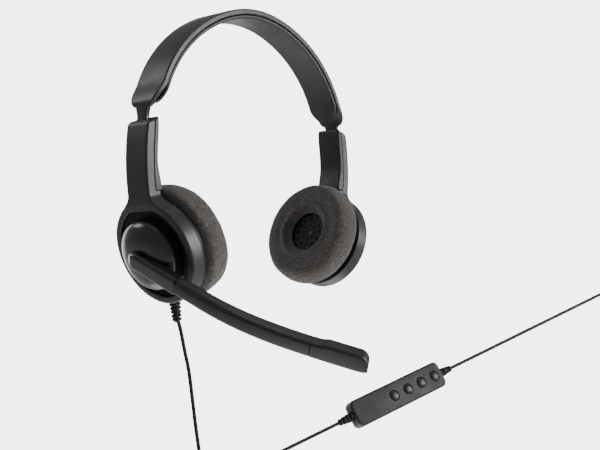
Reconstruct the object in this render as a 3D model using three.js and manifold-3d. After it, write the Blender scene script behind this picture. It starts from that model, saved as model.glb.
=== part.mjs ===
// Office headset: a sprung headband, two sliding earpieces, a swinging microphone boom and a
// corded in-line controller with a plug. Millimetres, +Z up, +X to the plain earpiece and -Y
// forward. The origin is the underside of the head pad at the crown, where a head holds it.
import * as THREE from "three";
import { mergeGeometries, mergeVertices } from "three/addons/utils/BufferGeometryUtils.js";
import Module from "manifold-3d";

const wasm = await Module();
wasm.setup();

// ---- driving dimensions: clearances ----
const gap = 0.3; // between pieces that touch on the real headset
const slideClearance = 0.35; // around the sliding tongue

// ---- driving dimensions: headband ----
const bandWidth = 22;
const shellThickness = 3.2;
const padWidth = 21;
const padThickness = 2.5;
const crownRadius = 40.4; // of the arch at the crown
const bandHalfSweep = 1.79; // radians from the crown to the end of the band
const endRound = 7.2;
const channelDepth = 1.7; // of the wiring channel in the shell's underside
const channelWidth = 16;
const springWidth = 10;
const springThickness = 0.8;
const wireDiameter = 1;

// ---- driving dimensions: slider ----
const tongueWidth = 7.4;
const tongueThickness = 2.8;
const tongueLength = 40; // from the end of the band
const tongueTaper = 0.6; // at the tip of the tongue
const tongueJog = 3; // the tongue stands this far outside the band
const slideTilt = THREE.MathUtils.degToRad(2);
const extension = { mic: 5.1, plain: 2.4 }; // how far each side is pulled out at rest

// ---- driving dimensions: arm and cup ----
const armWidth = 15.4;
const armThickness = 8.3;
const armSplit = 5.3; // depth of the seam between the arm's shell and its inner cover
const armLength = 66.2; // from the outer top edge to the height of the cup's centre
const armOutset = 5.5; // of the top of the arm from the end of the band
const armPeak = 45.3; // height of the arm's outermost point over the cup's centre
const armCurve = 121; // radius of the arm's outer face
const neckGap = 2.6; // between the band and the arm when pushed right in
const cupTilt = THREE.MathUtils.degToRad(19.5);
const ringRadius = 28;
const ringWall = 2.7;
const armMeetsRing = 3.9; // below the top of the ring, where the arm's arc runs into its plane
const coverOverRing = 5.42; // between the foot of the arm's inner cover and the ring
const ringDepth = 8.7;
const recessDepth = 3;
const webThickness = 1.4;
const drumRadius = 20;
const drumDepth = 8.5;
const drumWall = 1.6;
const plateThickness = 1.5;
const baffleThickness = 1.5;
const cushionRadius = 30.5;
const cushionFace = 26; // depth of the face that meets the ear
const cushionHole = 13;
const screwCircle = 14;
const screwRadius = 0.75;

// ---- driving dimensions: boom ----
const turretRadius = 20;
const turretRise = 9.5;
const spindleRadius = 3;
const boomHeight = 10.7; // of its centre line over the ring's outer face
const boomDroop = THREE.MathUtils.degToRad(26.9);
const boomStraight = 44.7;
const boomBend = THREE.MathUtils.degToRad(28.3);
const boomLength = 129.4;
const rootLength = 28;
const podLength = 25.4;
const boomWidth = 9.2;
const boomThickness = 7.4;
const podBulge = 1.2;
const micRadius = 2.9;
const micFromTip = 10;

// ---- driving dimensions: cord, controller and plug ----
const cordDiameter = 2.1;
const controllerLength = 68;
const controllerWidth = 16;
const controllerThickness = 8.5;
const controllerRound = 3.4;
const controllerWall = 1.3;
const buttonRadius = 3.2;
const buttonPitch = 10.6;
const firstButton = -4.2; // from the middle of the controller
const buttonProud = 0.8;
const reliefLength = 10;
const hankLength = 61;
const hankWidth = 25;
const hankThickness = 8.8;
const hankWaist = 14; // of the hank where its tie draws it in
const plugLength = 24;
const plugShellWidth = 12;
const plugShellHeight = 4.5;
const plugShellLength = 12;
const controllerCentre = new THREE.Vector3(80.5, -40.6, -215.9);
const plugStart = new THREE.Vector3(259, -92.6, -163.4);
const faceTilt = THREE.MathUtils.degToRad(34); // of the controller's face from upright
const hankCentre = new THREE.Vector3(-34.5, -7.2, -283);

// ---- materials ----
function plastic(color, roughness, metalness = 0) {
  return new THREE.MeshStandardMaterial({ color, roughness, metalness });
}
const finish = {
  charcoal: () => plastic(0x303034, 0.5),
  dark: () => plastic(0x1c1d21, 0.55),
  gloss: () => plastic(0x18181b, 0.15),
  soft: () => plastic(0x17181b, 0.7),
  foam: () => plastic(0x4a4744, 0.95),
  rubber: () => plastic(0x141414, 0.8),
  steel: () => plastic(0x9a9b9d, 0.35, 1),
  copper: () => plastic(0x7d3b24, 0.6),
  film: () => plastic(0xb9b4a2, 0.4),
  board: () => plastic(0x1c4b33, 0.6),
};

// ---- solids and booleans ----
function toSolid(geometry) {
  const bare = geometry.clone();
  bare.deleteAttribute("normal");
  bare.deleteAttribute("uv");
  const merged = mergeVertices(bare, 1e-5);
  const mesh = new wasm.Mesh({
    numProp: 3,
    vertProperties: new Float32Array(merged.attributes.position.array),
    triVerts: new Uint32Array(merged.index.array),
  });
  return new wasm.Manifold(mesh);
}

function toGeometry(manifold) {
  const mesh = manifold.getMesh();
  const geometry = new THREE.BufferGeometry();
  geometry.setAttribute("position", new THREE.BufferAttribute(mesh.vertProperties, 3));
  geometry.setIndex(new THREE.BufferAttribute(mesh.triVerts, 1));
  return geometry;
}

function cut(geometry, ...tools) {
  return toGeometry(tools.reduce((body, tool) => body.subtract(toSolid(tool)), toSolid(geometry)));
}

function join(...geometries) {
  return toGeometry(geometries.map(toSolid).reduce((body, other) => body.add(other)));
}

// A profile of [radius, height] pairs turned about the X axis, so that height runs along +X.
function turned(profile, segments = 28) {
  const points = profile.map(([radius, height]) => new THREE.Vector2(radius, height));
  return new THREE.LatheGeometry(points, segments).rotateZ(-Math.PI / 2);
}

function rod(radius, from, to, segments = 16) {
  return turned([[0, from], [radius, from], [radius, to], [0, to]], segments);
}

function box(x, y, z, cx = 0, cy = 0, cz = 0) {
  return new THREE.BoxGeometry(x, y, z).translate(cx, cy, cz);
}

// The outline of a rounded bar: across runs from side to side, depth from 0 down to -thickness.
function barOutline(width, thickness, outerRound, innerRound = outerRound, steps = 2) {
  const points = [];
  const corner = (across, depth, radius, start) => {
    for (let i = 0; i <= steps; i++) {
      const angle = start + (i / steps) * (Math.PI / 2);
      points.push([across + radius * Math.cos(angle), depth + radius * Math.sin(angle)]);
    }
  };
  const half = width / 2;
  corner(half - outerRound, -outerRound, outerRound, 0);
  corner(-half + outerRound, -outerRound, outerRound, Math.PI / 2);
  corner(-half + innerRound, -thickness + innerRound, innerRound, Math.PI);
  corner(half - innerRound, -thickness + innerRound, innerRound, 1.5 * Math.PI);
  return points;
}

// A closed body through stations. Each has a place, a side and an out vector, and an outline.
function loft(stations) {
  const count = stations[0].outline.length;
  const positions = [];
  const middles = [];
  for (const { at, side, out, outline } of stations) {
    const ring = outline.map(([a, b]) => at.clone().addScaledVector(side, a).addScaledVector(out, b));
    ring.forEach((p) => positions.push(p.x, p.y, p.z));
    middles.push(ring.reduce((sum, p) => sum.add(p), new THREE.Vector3()).divideScalar(count));
  }
  const index = [];
  for (let i = 0; i + 1 < stations.length; i++) {
    for (let j = 0; j < count; j++) {
      const a = i * count + j;
      const b = i * count + ((j + 1) % count);
      index.push(a, b, a + count, b, b + count, a + count);
    }
  }
  const first = stations.length * count;
  const lastRing = (stations.length - 1) * count;
  positions.push(...middles[0].toArray(), ...middles.at(-1).toArray());
  for (let j = 0; j < count; j++) {
    const next = (j + 1) % count;
    index.push(first, next, j, first + 1, lastRing + j, lastRing + next);
  }
  const geometry = new THREE.BufferGeometry();
  geometry.setAttribute("position", new THREE.BufferAttribute(new Float32Array(positions), 3));
  geometry.setIndex(index);
  return signedVolume(geometry) > 0 ? geometry : flipped(geometry);
}

function signedVolume(geometry) {
  const position = geometry.attributes.position;
  const corner = [0, 1, 2].map(() => new THREE.Vector3());
  let volume = 0;
  for (let i = 0; i < geometry.index.count; i += 3) {
    corner.forEach((v, k) => v.fromBufferAttribute(position, geometry.index.getX(i + k)));
    volume += corner[0].dot(corner[1].clone().cross(corner[2])) / 6;
  }
  return volume;
}

function flipped(geometry) {
  const index = geometry.index.array;
  for (let i = 0; i < index.length; i += 3) {
    [index[i], index[i + 1]] = [index[i + 1], index[i]];
  }
  return geometry;
}

function range(from, to, count) {
  return Array.from({ length: count + 1 }, (_, i) => from + ((to - from) * i) / count);
}

const smooth = (t) => THREE.MathUtils.smoothstep(t, 0, 1);
const forwardBack = new THREE.Vector3(0, 1, 0);

// ---- the scene graph ----
const headset = new THREE.Group();
const sides = { mic: new THREE.Group(), plain: new THREE.Group() };
sides.mic.rotation.z = Math.PI;
headset.add(sides.mic, sides.plain);

function part(group, name, geometry, material) {
  const mesh = new THREE.Mesh(geometry, material());
  mesh.name = name;
  group.add(mesh);
  return mesh;
}

// ---- headband: an arch whose radius grows smoothly away from the crown ----
const archCentreZ = -(crownRadius - shellThickness - gap - padThickness);

function archPoint(angle) {
  const square = angle * angle;
  const radius = crownRadius + square * (8.04 + square * (2.22 - 0.42 * square));
  return new THREE.Vector3(radius * Math.sin(angle), 0, archCentreZ + radius * Math.cos(angle));
}

function archOut(angle) {
  const step = 1e-3;
  const along = archPoint(angle + step).sub(archPoint(angle - step)).normalize();
  return new THREE.Vector3(-along.z, 0, along.x);
}

function archStation(angle, depth, outline) {
  const out = archOut(angle);
  return { at: archPoint(angle).addScaledVector(out, -depth), side: forwardBack, out, outline };
}

function archStrip(halfSweep, depth, outlineAt, count) {
  return loft(range(-halfSweep, halfSweep, count).map((a) => archStation(a, depth, outlineAt(a))));
}

const bandEnd = archPoint(bandHalfSweep);
const bandEndRadius = Math.hypot(bandEnd.x, bandEnd.z - archCentreZ);
const slideAlong = new THREE.Vector3(Math.sin(slideTilt), 0, -Math.cos(slideTilt));
const slideOut = new THREE.Vector3(Math.cos(slideTilt), 0, Math.sin(slideTilt));
const tongueStart = bandEnd.clone().add(new THREE.Vector3(tongueJog, 0, 0));

function roundedWidth(full, least, radius, toEnd) {
  if (toEnd >= radius) return full;
  return least + (full - least) * Math.sqrt(1 - ((radius - toEnd) / radius) ** 2);
}

function shellEndStations() {
  const toEnd = [endRound, 6, 4.8, 3.6, 2.4, 1.4, 0.6];
  const rounding = toEnd.map((distance) => {
    const angle = bandHalfSweep - distance / bandEndRadius;
    const blend = smooth(1 - distance / endRound);
    const width = roundedWidth(bandWidth, tongueWidth, endRound, distance);
    const thickness = THREE.MathUtils.lerp(shellThickness, tongueThickness, blend);
    const station = archStation(angle, 0, barOutline(width, thickness, 1));
    station.at.x += tongueJog * blend;
    return station;
  });
  const tongue = [[0, 0], [tongueLength - 1, 0], [tongueLength, tongueTaper]].map(([distance, taper]) => ({
    at: tongueStart.clone().addScaledVector(slideAlong, distance).addScaledVector(slideOut, -taper),
    side: forwardBack,
    out: slideOut,
    outline: barOutline(tongueWidth - 2.6 * taper, tongueThickness - 2 * taper, 0.7),
  }));
  return [...rounding, ...tongue];
}

function mirrored(station) {
  const turn = (v) => new THREE.Vector3(-v.x, v.y, v.z);
  return { ...station, at: turn(station.at), out: turn(station.out) };
}

function headbandShell() {
  const end = shellEndStations();
  const straightSweep = bandHalfSweep - (endRound + 1) / bandEndRadius;
  const arch = range(-straightSweep, straightSweep, 28);
  const outline = barOutline(bandWidth, shellThickness, 1);
  const body = loft([
    ...end.map(mirrored).reverse(),
    ...arch.map((angle) => archStation(angle, 0, outline)),
    ...end,
  ]);
  const channel = archStrip(bandHalfSweep - 0.3, shellThickness - channelDepth,
    () => barOutline(channelWidth, channelDepth + 1, 0.2, 0.2, 1), 28);
  return cut(body, channel);
}

function headbandPad() {
  const sweep = bandHalfSweep - 0.04;
  const inset = 9;
  const outlineAt = (angle) => {
    const toEnd = (sweep - Math.abs(angle)) * bandEndRadius + 0.4;
    return barOutline(roundedWidth(padWidth, 2.6, inset, toEnd), padThickness, 0.4, 1.1);
  };
  return archStrip(sweep, shellThickness + gap, outlineAt, 40);
}

function springBand() {
  const depth = shellThickness - channelDepth + gap;
  const strip = archStrip(bandHalfSweep - 0.34, depth,
    () => barOutline(springWidth, springThickness, 0.1, 0.1, 1), 24);
  return strip.translate(0, (channelWidth - springWidth) / 2 - 1, 0);
}

function crossoverWire() {
  const depth = shellThickness - channelDepth + gap;
  const strip = archStrip(bandHalfSweep - 0.34, depth,
    () => barOutline(wireDiameter, wireDiameter, wireDiameter / 2.5, wireDiameter / 2.5, 1), 24);
  return strip.translate(0, -(channelWidth / 2 - wireDiameter - 0.4), 0);
}

part(headset, "headband_shell", headbandShell(), finish.charcoal);
part(headset, "headband_pad", headbandPad(), finish.charcoal);
part(headset, "spring_steel_band", springBand(), finish.steel);
part(headset, "crossover_wire", crossoverWire(), finish.copper);

// ---- earpiece frames: an arm that slides, with a tilted cup at its foot ----
const armTop = new THREE.Vector3(bandEnd.x + armOutset, 0, bandEnd.z - neckGap - 3);
const peakX = armTop.x + armCurve - Math.sqrt(armCurve ** 2 - (armLength - armPeak) ** 2);
const meeting = ringRadius - armMeetsRing;
const armBulge = meeting * Math.tan(cupTilt) + armCurve - Math.sqrt(armCurve ** 2 - (armPeak - meeting) ** 2);
const cupCentre = new THREE.Vector3(peakX - armBulge, 0, armTop.z - armLength);

function earpieceGroups(side) {
  const slide = new THREE.Group();
  slide.position.copy(slideAlong).multiplyScalar(extension[side]);
  const cup = new THREE.Group();
  cup.position.copy(cupCentre);
  cup.rotation.y = cupTilt;
  slide.add(cup);
  sides[side].add(slide);
  return { slide, cup };
}
const earpiece = { mic: earpieceGroups("mic"), plain: earpieceGroups("plain") };
const cupMatrix = new THREE.Matrix4().makeRotationY(cupTilt).setPosition(cupCentre);
const toCup = cupMatrix.clone().invert();

// The arm's outer face is an arc that runs into the plane of the tilted ring.
function armStation(height, depth, outlineOf) {
  const rise = height - armPeak;
  const arcAngle = Math.asin(rise / armCurve);
  const top = smooth((height - armLength + 9) / 9);
  const foot = smooth((ringRadius + 2 - height) / 8);
  const towardTop = THREE.MathUtils.lerp(arcAngle, -0.35, top);
  const lean = THREE.MathUtils.lerp(towardTop, -cupTilt, foot);
  const out = new THREE.Vector3(Math.cos(lean), 0, Math.sin(lean));
  const x = peakX - armCurve + armCurve * Math.cos(arcAngle);
  const at = new THREE.Vector3(x, 0, cupCentre.z + height).addScaledVector(out, -depth);
  const planeX = cupCentre.x + height * Math.tan(cupTilt);
  if (height < meeting) at.x = planeX - depth * out.x;
  const inPlane = height / Math.cos(cupTilt);
  return { at, side: forwardBack, out, outline: outlineOf(flareWidth(inPlane), armThicknessAt(height)) };
}

// Concave fillets on both edges widen the arm until it meets the ring.
function flareWidth(inPlane) {
  const start = ringRadius + 4;
  const finishAt = ringRadius - 4;
  const chord = Math.sqrt(ringRadius ** 2 - finishAt ** 2);
  const t = Math.max(0, (start - inPlane) / (start - finishAt));
  return armWidth + 2 * (chord - armWidth / 2) * t * t;
}

// The arm thins to the depth of the ring before it reaches what the ring holds.
const footThickness = ringDepth - 0.4;

function armThicknessAt(height) {
  return THREE.MathUtils.lerp(armThickness, footThickness, smooth((ringRadius + 8 - height) / 6));
}

const ringSegments = 36;
const flareFoot = (ringRadius - 4.4) * Math.cos(cupTilt);
const coverFoot = (ringRadius + coverOverRing) * Math.cos(cupTilt);

function armStrip(from, to, depth, outlineOf, count) {
  return loft(range(from, to, count).map((height) => armStation(height, depth, outlineOf)));
}

function armBody() {
  const edge = (inset) => (width, thickness) =>
    barOutline(width - 2 * inset, thickness - 2 * inset, 2.2, 1.2);
  const top = armStation(armLength + 0.8, 0.8, edge(0.8));
  const rest = range(armLength, flareFoot, 14).map((h) => armStation(h, 0, edge(0)));
  return loft([top, ...rest]).applyMatrix4(toCup);
}

function ringBody(hubHole) {
  const inner = ringRadius - ringWall;
  const floor = -recessDepth - webThickness;
  return turned([
    [hubHole, -recessDepth], [hubHole, floor], [inner, floor], [inner, -ringDepth],
    [ringRadius, -ringDepth], [ringRadius, -1.2], [ringRadius - 0.4, -0.4],
    [ringRadius - 1.3, 0], [inner + 0.3, 0], [inner, -0.3], [inner, -recessDepth],
    [hubHole, -recessDepth],
  ], ringSegments);
}

const slideFrame = new THREE.Matrix4().makeBasis(slideOut, forwardBack, slideAlong.clone().negate());

function slideTool(sizeOut, sizeAcross, from, to, middleDepth) {
  const length = to - from;
  const tool = box(sizeOut, sizeAcross, length, -middleDepth, 0, -(from + to) / 2);
  return tool.applyMatrix4(slideFrame).translate(tongueStart.x, 0, tongueStart.z).applyMatrix4(toCup);
}

function slotTool() {
  const thickness = tongueThickness + 2 * slideClearance;
  const width = tongueWidth + 2 * slideClearance;
  return slideTool(thickness, width, -6, tongueLength + 1.5, tongueThickness / 2);
}

const clickSpringFrom = 14;
const clickSpringLength = 10;
const clickSpringWidth = 4;

function springPocket() {
  return slideTool(2, clickSpringWidth + 1, clickSpringFrom - 1,
    clickSpringFrom + clickSpringLength + 1, -slideClearance - 0.6);
}

function armShell(hubHole, extraCuts) {
  const inner = ringRadius - ringWall;
  const wide = (width, thickness) => barOutline(width + 2, thickness - armSplit + 2, 0.2, 0.2, 1);
  const coverSeat = armStrip(armLength + 4, coverFoot - gap, armSplit, wide, 12).applyMatrix4(toCup);
  const bore = rod(inner, -recessDepth, 10, ringSegments);
  const back = rod(inner, -30, -recessDepth - webThickness, ringSegments);
  const floorLevel = -ringDepth + 0.3;
  const posts = [-1, 1].map((s) =>
    rod(2.4, floorLevel, -recessDepth - 0.5, 16).translate(0, s * screwCircle, 0));
  const holes = [-1, 1].map((s) =>
    rod(screwRadius + gap, -ringDepth - 1, -recessDepth - 2.4, 12).translate(0, s * screwCircle, 0));
  const arm = cut(armBody(), coverSeat, slotTool(), springPocket(), bore, back);
  return cut(join(arm, ringBody(hubHole), ...posts), ...holes, ...extraCuts);
}

function armCover() {
  const edge = (inset, round) => (width, thickness) =>
    barOutline(width - 2 * inset, thickness - armSplit - gap - 2 * inset, 0.3, round);
  const top = armStation(armLength + 0.2, armSplit + gap + 0.5, edge(0.5, 0.8));
  const rest = range(armLength - 0.6, coverFoot, 12).map((h) => armStation(h, armSplit + gap, edge(0, 1.2)));
  return cut(loft([top, ...rest]).applyMatrix4(toCup), slotTool());
}

// A bowed leaf that clicks against the tongue.
function clickSpring() {
  const outline = new THREE.Shape();
  const half = clickSpringLength / 2;
  const rise = 0.55;
  outline.moveTo(-half, 0);
  outline.quadraticCurveTo(0, -2 * rise, half, 0);
  outline.lineTo(half, 0.35);
  outline.quadraticCurveTo(0, 0.35 - 2 * rise, -half, 0.35);
  outline.closePath();
  const leaf = new THREE.ExtrudeGeometry(outline, {
    depth: clickSpringWidth, bevelEnabled: false, curveSegments: 8,
  });
  leaf.translate(0, 0, -clickSpringWidth / 2).rotateX(Math.PI / 2).rotateY(Math.PI / 2);
  const middle = clickSpringFrom + clickSpringLength / 2;
  leaf.rotateZ(Math.PI).translate(slideClearance + 0.5, 0, -middle);
  return leaf.applyMatrix4(slideFrame).translate(tongueStart.x, 0, tongueStart.z).applyMatrix4(toCup);
}

// ---- what every cup holds, from the ring back to the ear ----
const plateBack = -ringDepth - gap;
const plateFront = plateBack - plateThickness;
const drumEnd = plateFront - drumDepth;

function capsuleHousing() {
  const inner = drumRadius - drumWall;
  const flange = ringRadius - 0.5;
  const body = turned([
    [0, plateBack], [flange, plateBack], [flange, plateFront], [drumRadius, plateFront],
    [drumRadius, drumEnd], [inner, drumEnd], [inner, plateFront], [0, plateFront],
  ].reverse());
  const hole = (s) => rod(screwRadius + gap, plateFront - 1, plateBack + 1, 12)
    .translate(0, s * screwCircle, 0);
  return cut(body, hole(-1), hole(1));
}

function capsuleScrew(side) {
  const head = plateFront - gap;
  return turned([
    [0, head - 1.3], [1.5, head - 1.3], [1.9, head - 0.9], [1.9, head],
    [screwRadius, head], [screwRadius, -recessDepth - 3.4], [0, -recessDepth - 2.8],
  ], 12).translate(0, side * screwCircle, 0);
}

function speakerFrame() {
  const back = plateFront - gap;
  return turned([
    [0, back - 6.4], [14.5, back - 6.4], [15.5, back - 6.8], [17.6, back - 6.8],
    [17.6, back - 5.4], [15, back - 5.2], [11.5, back - 3.6], [11.5, back - 1.9], [0, back - 1.9],
  ], 24);
}

function speakerMagnet() {
  const back = plateFront - gap;
  return rod(8.5, back - 1.6, back, 24);
}

function speakerDiaphragm() {
  const front = drumEnd + 0.1;
  return turned([
    [0, front + 0.3], [5, front + 0.5], [9, front + 0.9], [14, front + 0.4], [16.5, front + 0.9],
    [16.5, front + 1.1], [14, front + 0.7], [9, front + 1.15], [5, front + 0.8], [0, front + 0.6],
  ], 20);
}

// The grille has a middle hole, a ring of small ones and a ring of large ones.
function speakerBaffle() {
  const back = drumEnd - gap;
  const front = back - baffleThickness;
  const plate = turned([
    [0, front - 0.5], [8, front - 0.4], [13, front], [drumRadius - 0.7, front],
    [drumRadius - 0.1, front + 0.5], [drumRadius - 0.1, back], [0, back],
  ]);
  const hole = (radius, distance, angle, sidesCount) =>
    rod(radius, front - 2, back + 1, sidesCount)
      .translate(0, distance * Math.cos(angle), distance * Math.sin(angle));
  const circle = (count, radius, distance, sidesCount) =>
    range(0, 2 * Math.PI, count).slice(1).map((angle) => hole(radius, distance, angle, sidesCount));
  return cut(plate, hole(1.2, 0, 0, 8), ...circle(8, 0.55, 3.4, 4), ...circle(10, 1, 6.8, 6));
}

function earCushion() {
  const back = plateFront - gap;
  const pocket = drumEnd - 2 * gap - baffleThickness - 0.7;
  const middle = -18;
  const outer = range(0, 1, 4).map((t) => {
    const angle = t * Math.PI / 2;
    return [cushionRadius - 4 * (1 - Math.sin(angle)), back + (middle + 3 - back) * (1 - Math.cos(angle))];
  });
  const face = range(0, 1, 4).map((t) => {
    const angle = t * Math.PI / 2;
    const depth = middle - 3 + (-cushionFace - middle + 3) * Math.sin(angle);
    return [cushionRadius - 4.5 * (1 - Math.cos(angle)), depth];
  });
  return turned([
    [drumRadius + 0.4, back], ...outer, ...face, [cushionHole + 2.5, -cushionFace],
    [cushionHole + 0.6, -cushionFace + 0.8], [cushionHole, -cushionFace + 2.4],
    [cushionHole, pocket], [drumRadius + 0.4, pocket], [drumRadius + 0.4, back],
  ].reverse());
}

function cupContents(side) {
  const { cup } = earpiece[side];
  part(cup, `${side}_side_arm_cover`, armCover(), finish.dark);
  part(cup, `${side}_side_click_spring`, clickSpring(), finish.steel);
  part(cup, `${side}_side_capsule_housing`, capsuleHousing(), finish.dark);
  part(cup, `${side}_side_capsule_screw_front`, capsuleScrew(side === "mic" ? 1 : -1), finish.steel);
  part(cup, `${side}_side_capsule_screw_rear`, capsuleScrew(side === "mic" ? -1 : 1), finish.steel);
  part(cup, `${side}_side_speaker_frame`, speakerFrame(), finish.film);
  part(cup, `${side}_side_speaker_magnet`, speakerMagnet(), finish.steel);
  part(cup, `${side}_side_speaker_diaphragm`, speakerDiaphragm(), finish.film);
  part(cup, `${side}_side_speaker_baffle`, speakerBaffle(), finish.dark);
  part(cup, `${side}_side_ear_cushion`, earCushion(), finish.foam);
}
cupContents("mic");
cupContents("plain");

// ---- plain side: a closed arm with a round cap ----
part(earpiece.plain.cup, "plain_side_arm_shell", armShell(0, []), finish.charcoal);

function outerCap() {
  const radius = ringRadius - ringWall - gap;
  const dome = range(0, Math.PI / 2, 4).map((a) => [(radius - 1) * Math.cos(a), 0.2 + 2.4 * Math.sin(a)]);
  dome[dome.length - 1][0] = 0;
  return turned([[0, -recessDepth + gap], [radius, -recessDepth + gap], [radius, -0.4], ...dome]);
}
part(earpiece.plain.cup, "plain_side_outer_cap", outerCap(), finish.charcoal);

// ---- cup strain relief, in a hole through the ring's wall ----
const reliefLean = THREE.MathUtils.degToRad(-11);
const reliefNeck = 1.9;

// Rings on a tapering core, from height 0 along +X.
function ribbedRelief(length, startRadius, endRadius, rings, neckLength = 0, neckRadius = 0) {
  const profile = neckLength > 0
    ? [[0, -neckLength], [neckRadius, -neckLength], [neckRadius, 0]] : [[0, 0]];
  const pitch = length / rings;
  for (let i = 0; i < rings; i++) {
    const radius = THREE.MathUtils.lerp(startRadius, endRadius, i / (rings - 1));
    const from = i * pitch;
    profile.push([radius, from], [radius, from + 0.62 * pitch]);
    profile.push([radius - 1, from + 0.68 * pitch], [radius - 1, from + pitch]);
  }
  profile.push([0, length]);
  return turned(profile, 12);
}

const reliefPlace = new THREE.Matrix4()
  .makeRotationY(Math.PI / 2 + reliefLean)
  .setPosition(-ringDepth / 2, 0, -ringRadius - 1);
const reliefHole = rod(reliefNeck + gap, -ringWall - 2, 3, 20).applyMatrix4(reliefPlace);
part(earpiece.mic.cup, "mic_side_arm_shell", armShell(spindleRadius + gap, [reliefHole]), finish.charcoal);
part(earpiece.mic.cup, "cup_strain_relief",
  ribbedRelief(reliefLength, 3.1, 2.5, 5, ringWall + 1, reliefNeck).applyMatrix4(reliefPlace), finish.rubber);

// ---- boom: turret, root, tube and microphone pod, turning about the cup's axis ----
const boomDirection = new THREE.Vector3(0, Math.cos(boomDroop), -Math.sin(boomDroop));
const boomSide = new THREE.Vector3(0, Math.sin(boomDroop), Math.cos(boomDroop));
const boomCurveRadius = (boomLength - boomStraight) / boomBend;

function boomStation(distance, outline, lift = 0) {
  const bend = Math.max(0, distance - boomStraight) / boomCurveRadius;
  const along = Math.min(distance, boomStraight) + boomCurveRadius * Math.sin(bend);
  const inward = boomCurveRadius * (1 - Math.cos(bend));
  const out = boomDirection.clone().multiplyScalar(Math.sin(bend));
  out.x += Math.cos(bend);
  const at = boomDirection.clone().multiplyScalar(along);
  at.x += boomHeight - inward;
  at.addScaledVector(boomSide, lift);
  return { at, side: boomSide, out, outline };
}

// An outline centred on the boom's line instead of hanging from its outer face.
function centred(width, thickness, round, steps = 3) {
  return barOutline(width, thickness, round, round, steps).map(([a, b]) => [a, b + thickness / 2]);
}

function boomStrip(from, to, count, width, thickness, round, steps) {
  return loft(range(from, to, count).map((s) => boomStation(s, centred(width, thickness, round, steps))));
}

function boomRoot(extra = 0) {
  const size = (distance, tip = 1) => {
    const t = Math.max(0, distance) / rootLength;
    const width = (THREE.MathUtils.lerp(6.4, boomWidth, t) + 2 * extra) * tip;
    const thickness = (THREE.MathUtils.lerp(5.8, boomThickness, t) + 2 * extra) * tip;
    return centred(width, thickness, 0.42 * Math.min(width, thickness));
  };
  const rounded = [[-3.4 - extra, 0.3], [-3 - extra, 0.62], [-2 - extra, 0.86], [-0.6, 1]];
  return loft([
    ...rounded.map(([distance, tip]) => boomStation(distance, size(distance, tip))),
    ...range(2, rootLength + extra, 5).map((distance) => boomStation(distance, size(distance))),
  ]);
}

function boomTurret() {
  const seat = -recessDepth + gap;
  const clipTop = -recessDepth - webThickness - gap - 0.8;
  const dome = range(0, Math.PI / 2, 7)
    .map((a) => [turretRadius * Math.cos(a), 1 + (turretRise - 1) * Math.sin(a)]);
  dome[dome.length - 1][0] = 0;
  const body = turned([
    [0, clipTop - 2], [spindleRadius - 0.4, clipTop - 2], [spindleRadius - 0.4, clipTop - 1.2],
    [spindleRadius - 0.8, clipTop - 1.2], [spindleRadius - 0.8, clipTop],
    [spindleRadius, clipTop], [spindleRadius, seat], [turretRadius, seat], ...dome,
  ]);
  const notch = box(12, 15, 8, 1.5 + 6, 7.5, -8);
  return cut(body, boomRoot(gap), notch);
}

function frictionWasher() {
  const top = -recessDepth - webThickness - gap;
  return turned([
    [spindleRadius + gap, top], [6.5, top], [6.5, top - 0.5],
    [spindleRadius + gap, top - 0.5], [spindleRadius + gap, top],
  ].reverse(), 24);
}

function spindleClip() {
  const top = -recessDepth - webThickness - gap - 1.1;
  const inner = spindleRadius - 0.5;
  return turned([[inner, top], [4.8, top], [4.8, top - 0.6], [inner, top - 0.6], [inner, top]].reverse(), 24);
}

const tubeStart = rootLength + gap;
const podStart = boomLength - podLength;
const tubeEnd = podStart - gap;
const wireBore = 2.4;

function boomTube() {
  const body = boomStrip(tubeStart, tubeEnd, 12, boomWidth, boomThickness, 3, 2);
  const bore = boomStrip(tubeStart - 1, tubeEnd + 1, 12, wireBore, wireBore, 1, 1);
  return cut(body, bore);
}

const podWall = 1.2;
const podCoverThickness = 1.4;

function podOutline(lift, scale = 1) {
  return centred((boomWidth + 0.2 + lift) * scale, boomThickness * scale, 2 * scale, 2);
}

function podBody() {
  const stations = [[0, 0, 1], [4, 0, 1], [7, 0.5, 1], [9.5, 1, 1], [20, 1, 1], [23, 0.8, 0.96]];
  const body = stations.map(([distance, lift, scale]) =>
    boomStation(podStart + distance, podOutline(lift * podBulge, scale), (lift * podBulge) / 2));
  const tip = boomStation(boomLength, podOutline(0, 0.6), 0.9);
  return loft([...body, tip]);
}

// The pod's inner third is a separate cover; the split runs along the boom's curve.
function podSlice(outerDepth, innerDepth, from, to, width) {
  const outline = barOutline(width, innerDepth - outerDepth, 0.2, 0.2, 1)
    .map(([a, b]) => [a, b + boomThickness / 2 - outerDepth]);
  return loft(range(from, to, 8).map((s) => boomStation(s, outline, podBulge / 2)));
}

function podShell() {
  const split = boomThickness - podCoverThickness;
  const away = podSlice(split - gap, boomThickness + 3, podStart + 3, boomLength + 3, 20);
  const hollow = podSlice(podWall, boomThickness + 3, podStart + 5, boomLength - 4, boomWidth - 2 * podWall);
  return cut(podBody(), away, hollow);
}

function podCover() {
  const split = boomThickness - podCoverThickness;
  const keep = podSlice(split, boomThickness + 3, podStart + 3 + gap, boomLength + 3, 20);
  const body = toGeometry(toSolid(podBody()).intersect(toSolid(keep)));
  const slots = [-2, 0, 2].map((shift) => {
    return placeInPod(box(8, 0.9, 3.2), micFromTip + shift);
  });
  return cut(body, ...slots);
}

function placeInPod(geometry, fromTip) {
  const { at, out } = boomStation(boomLength - fromTip, [], podBulge / 2);
  const along = new THREE.Vector3().crossVectors(boomSide, out);
  const frame = new THREE.Matrix4().makeBasis(out, along, boomSide).setPosition(at);
  return geometry.applyMatrix4(frame);
}

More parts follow.
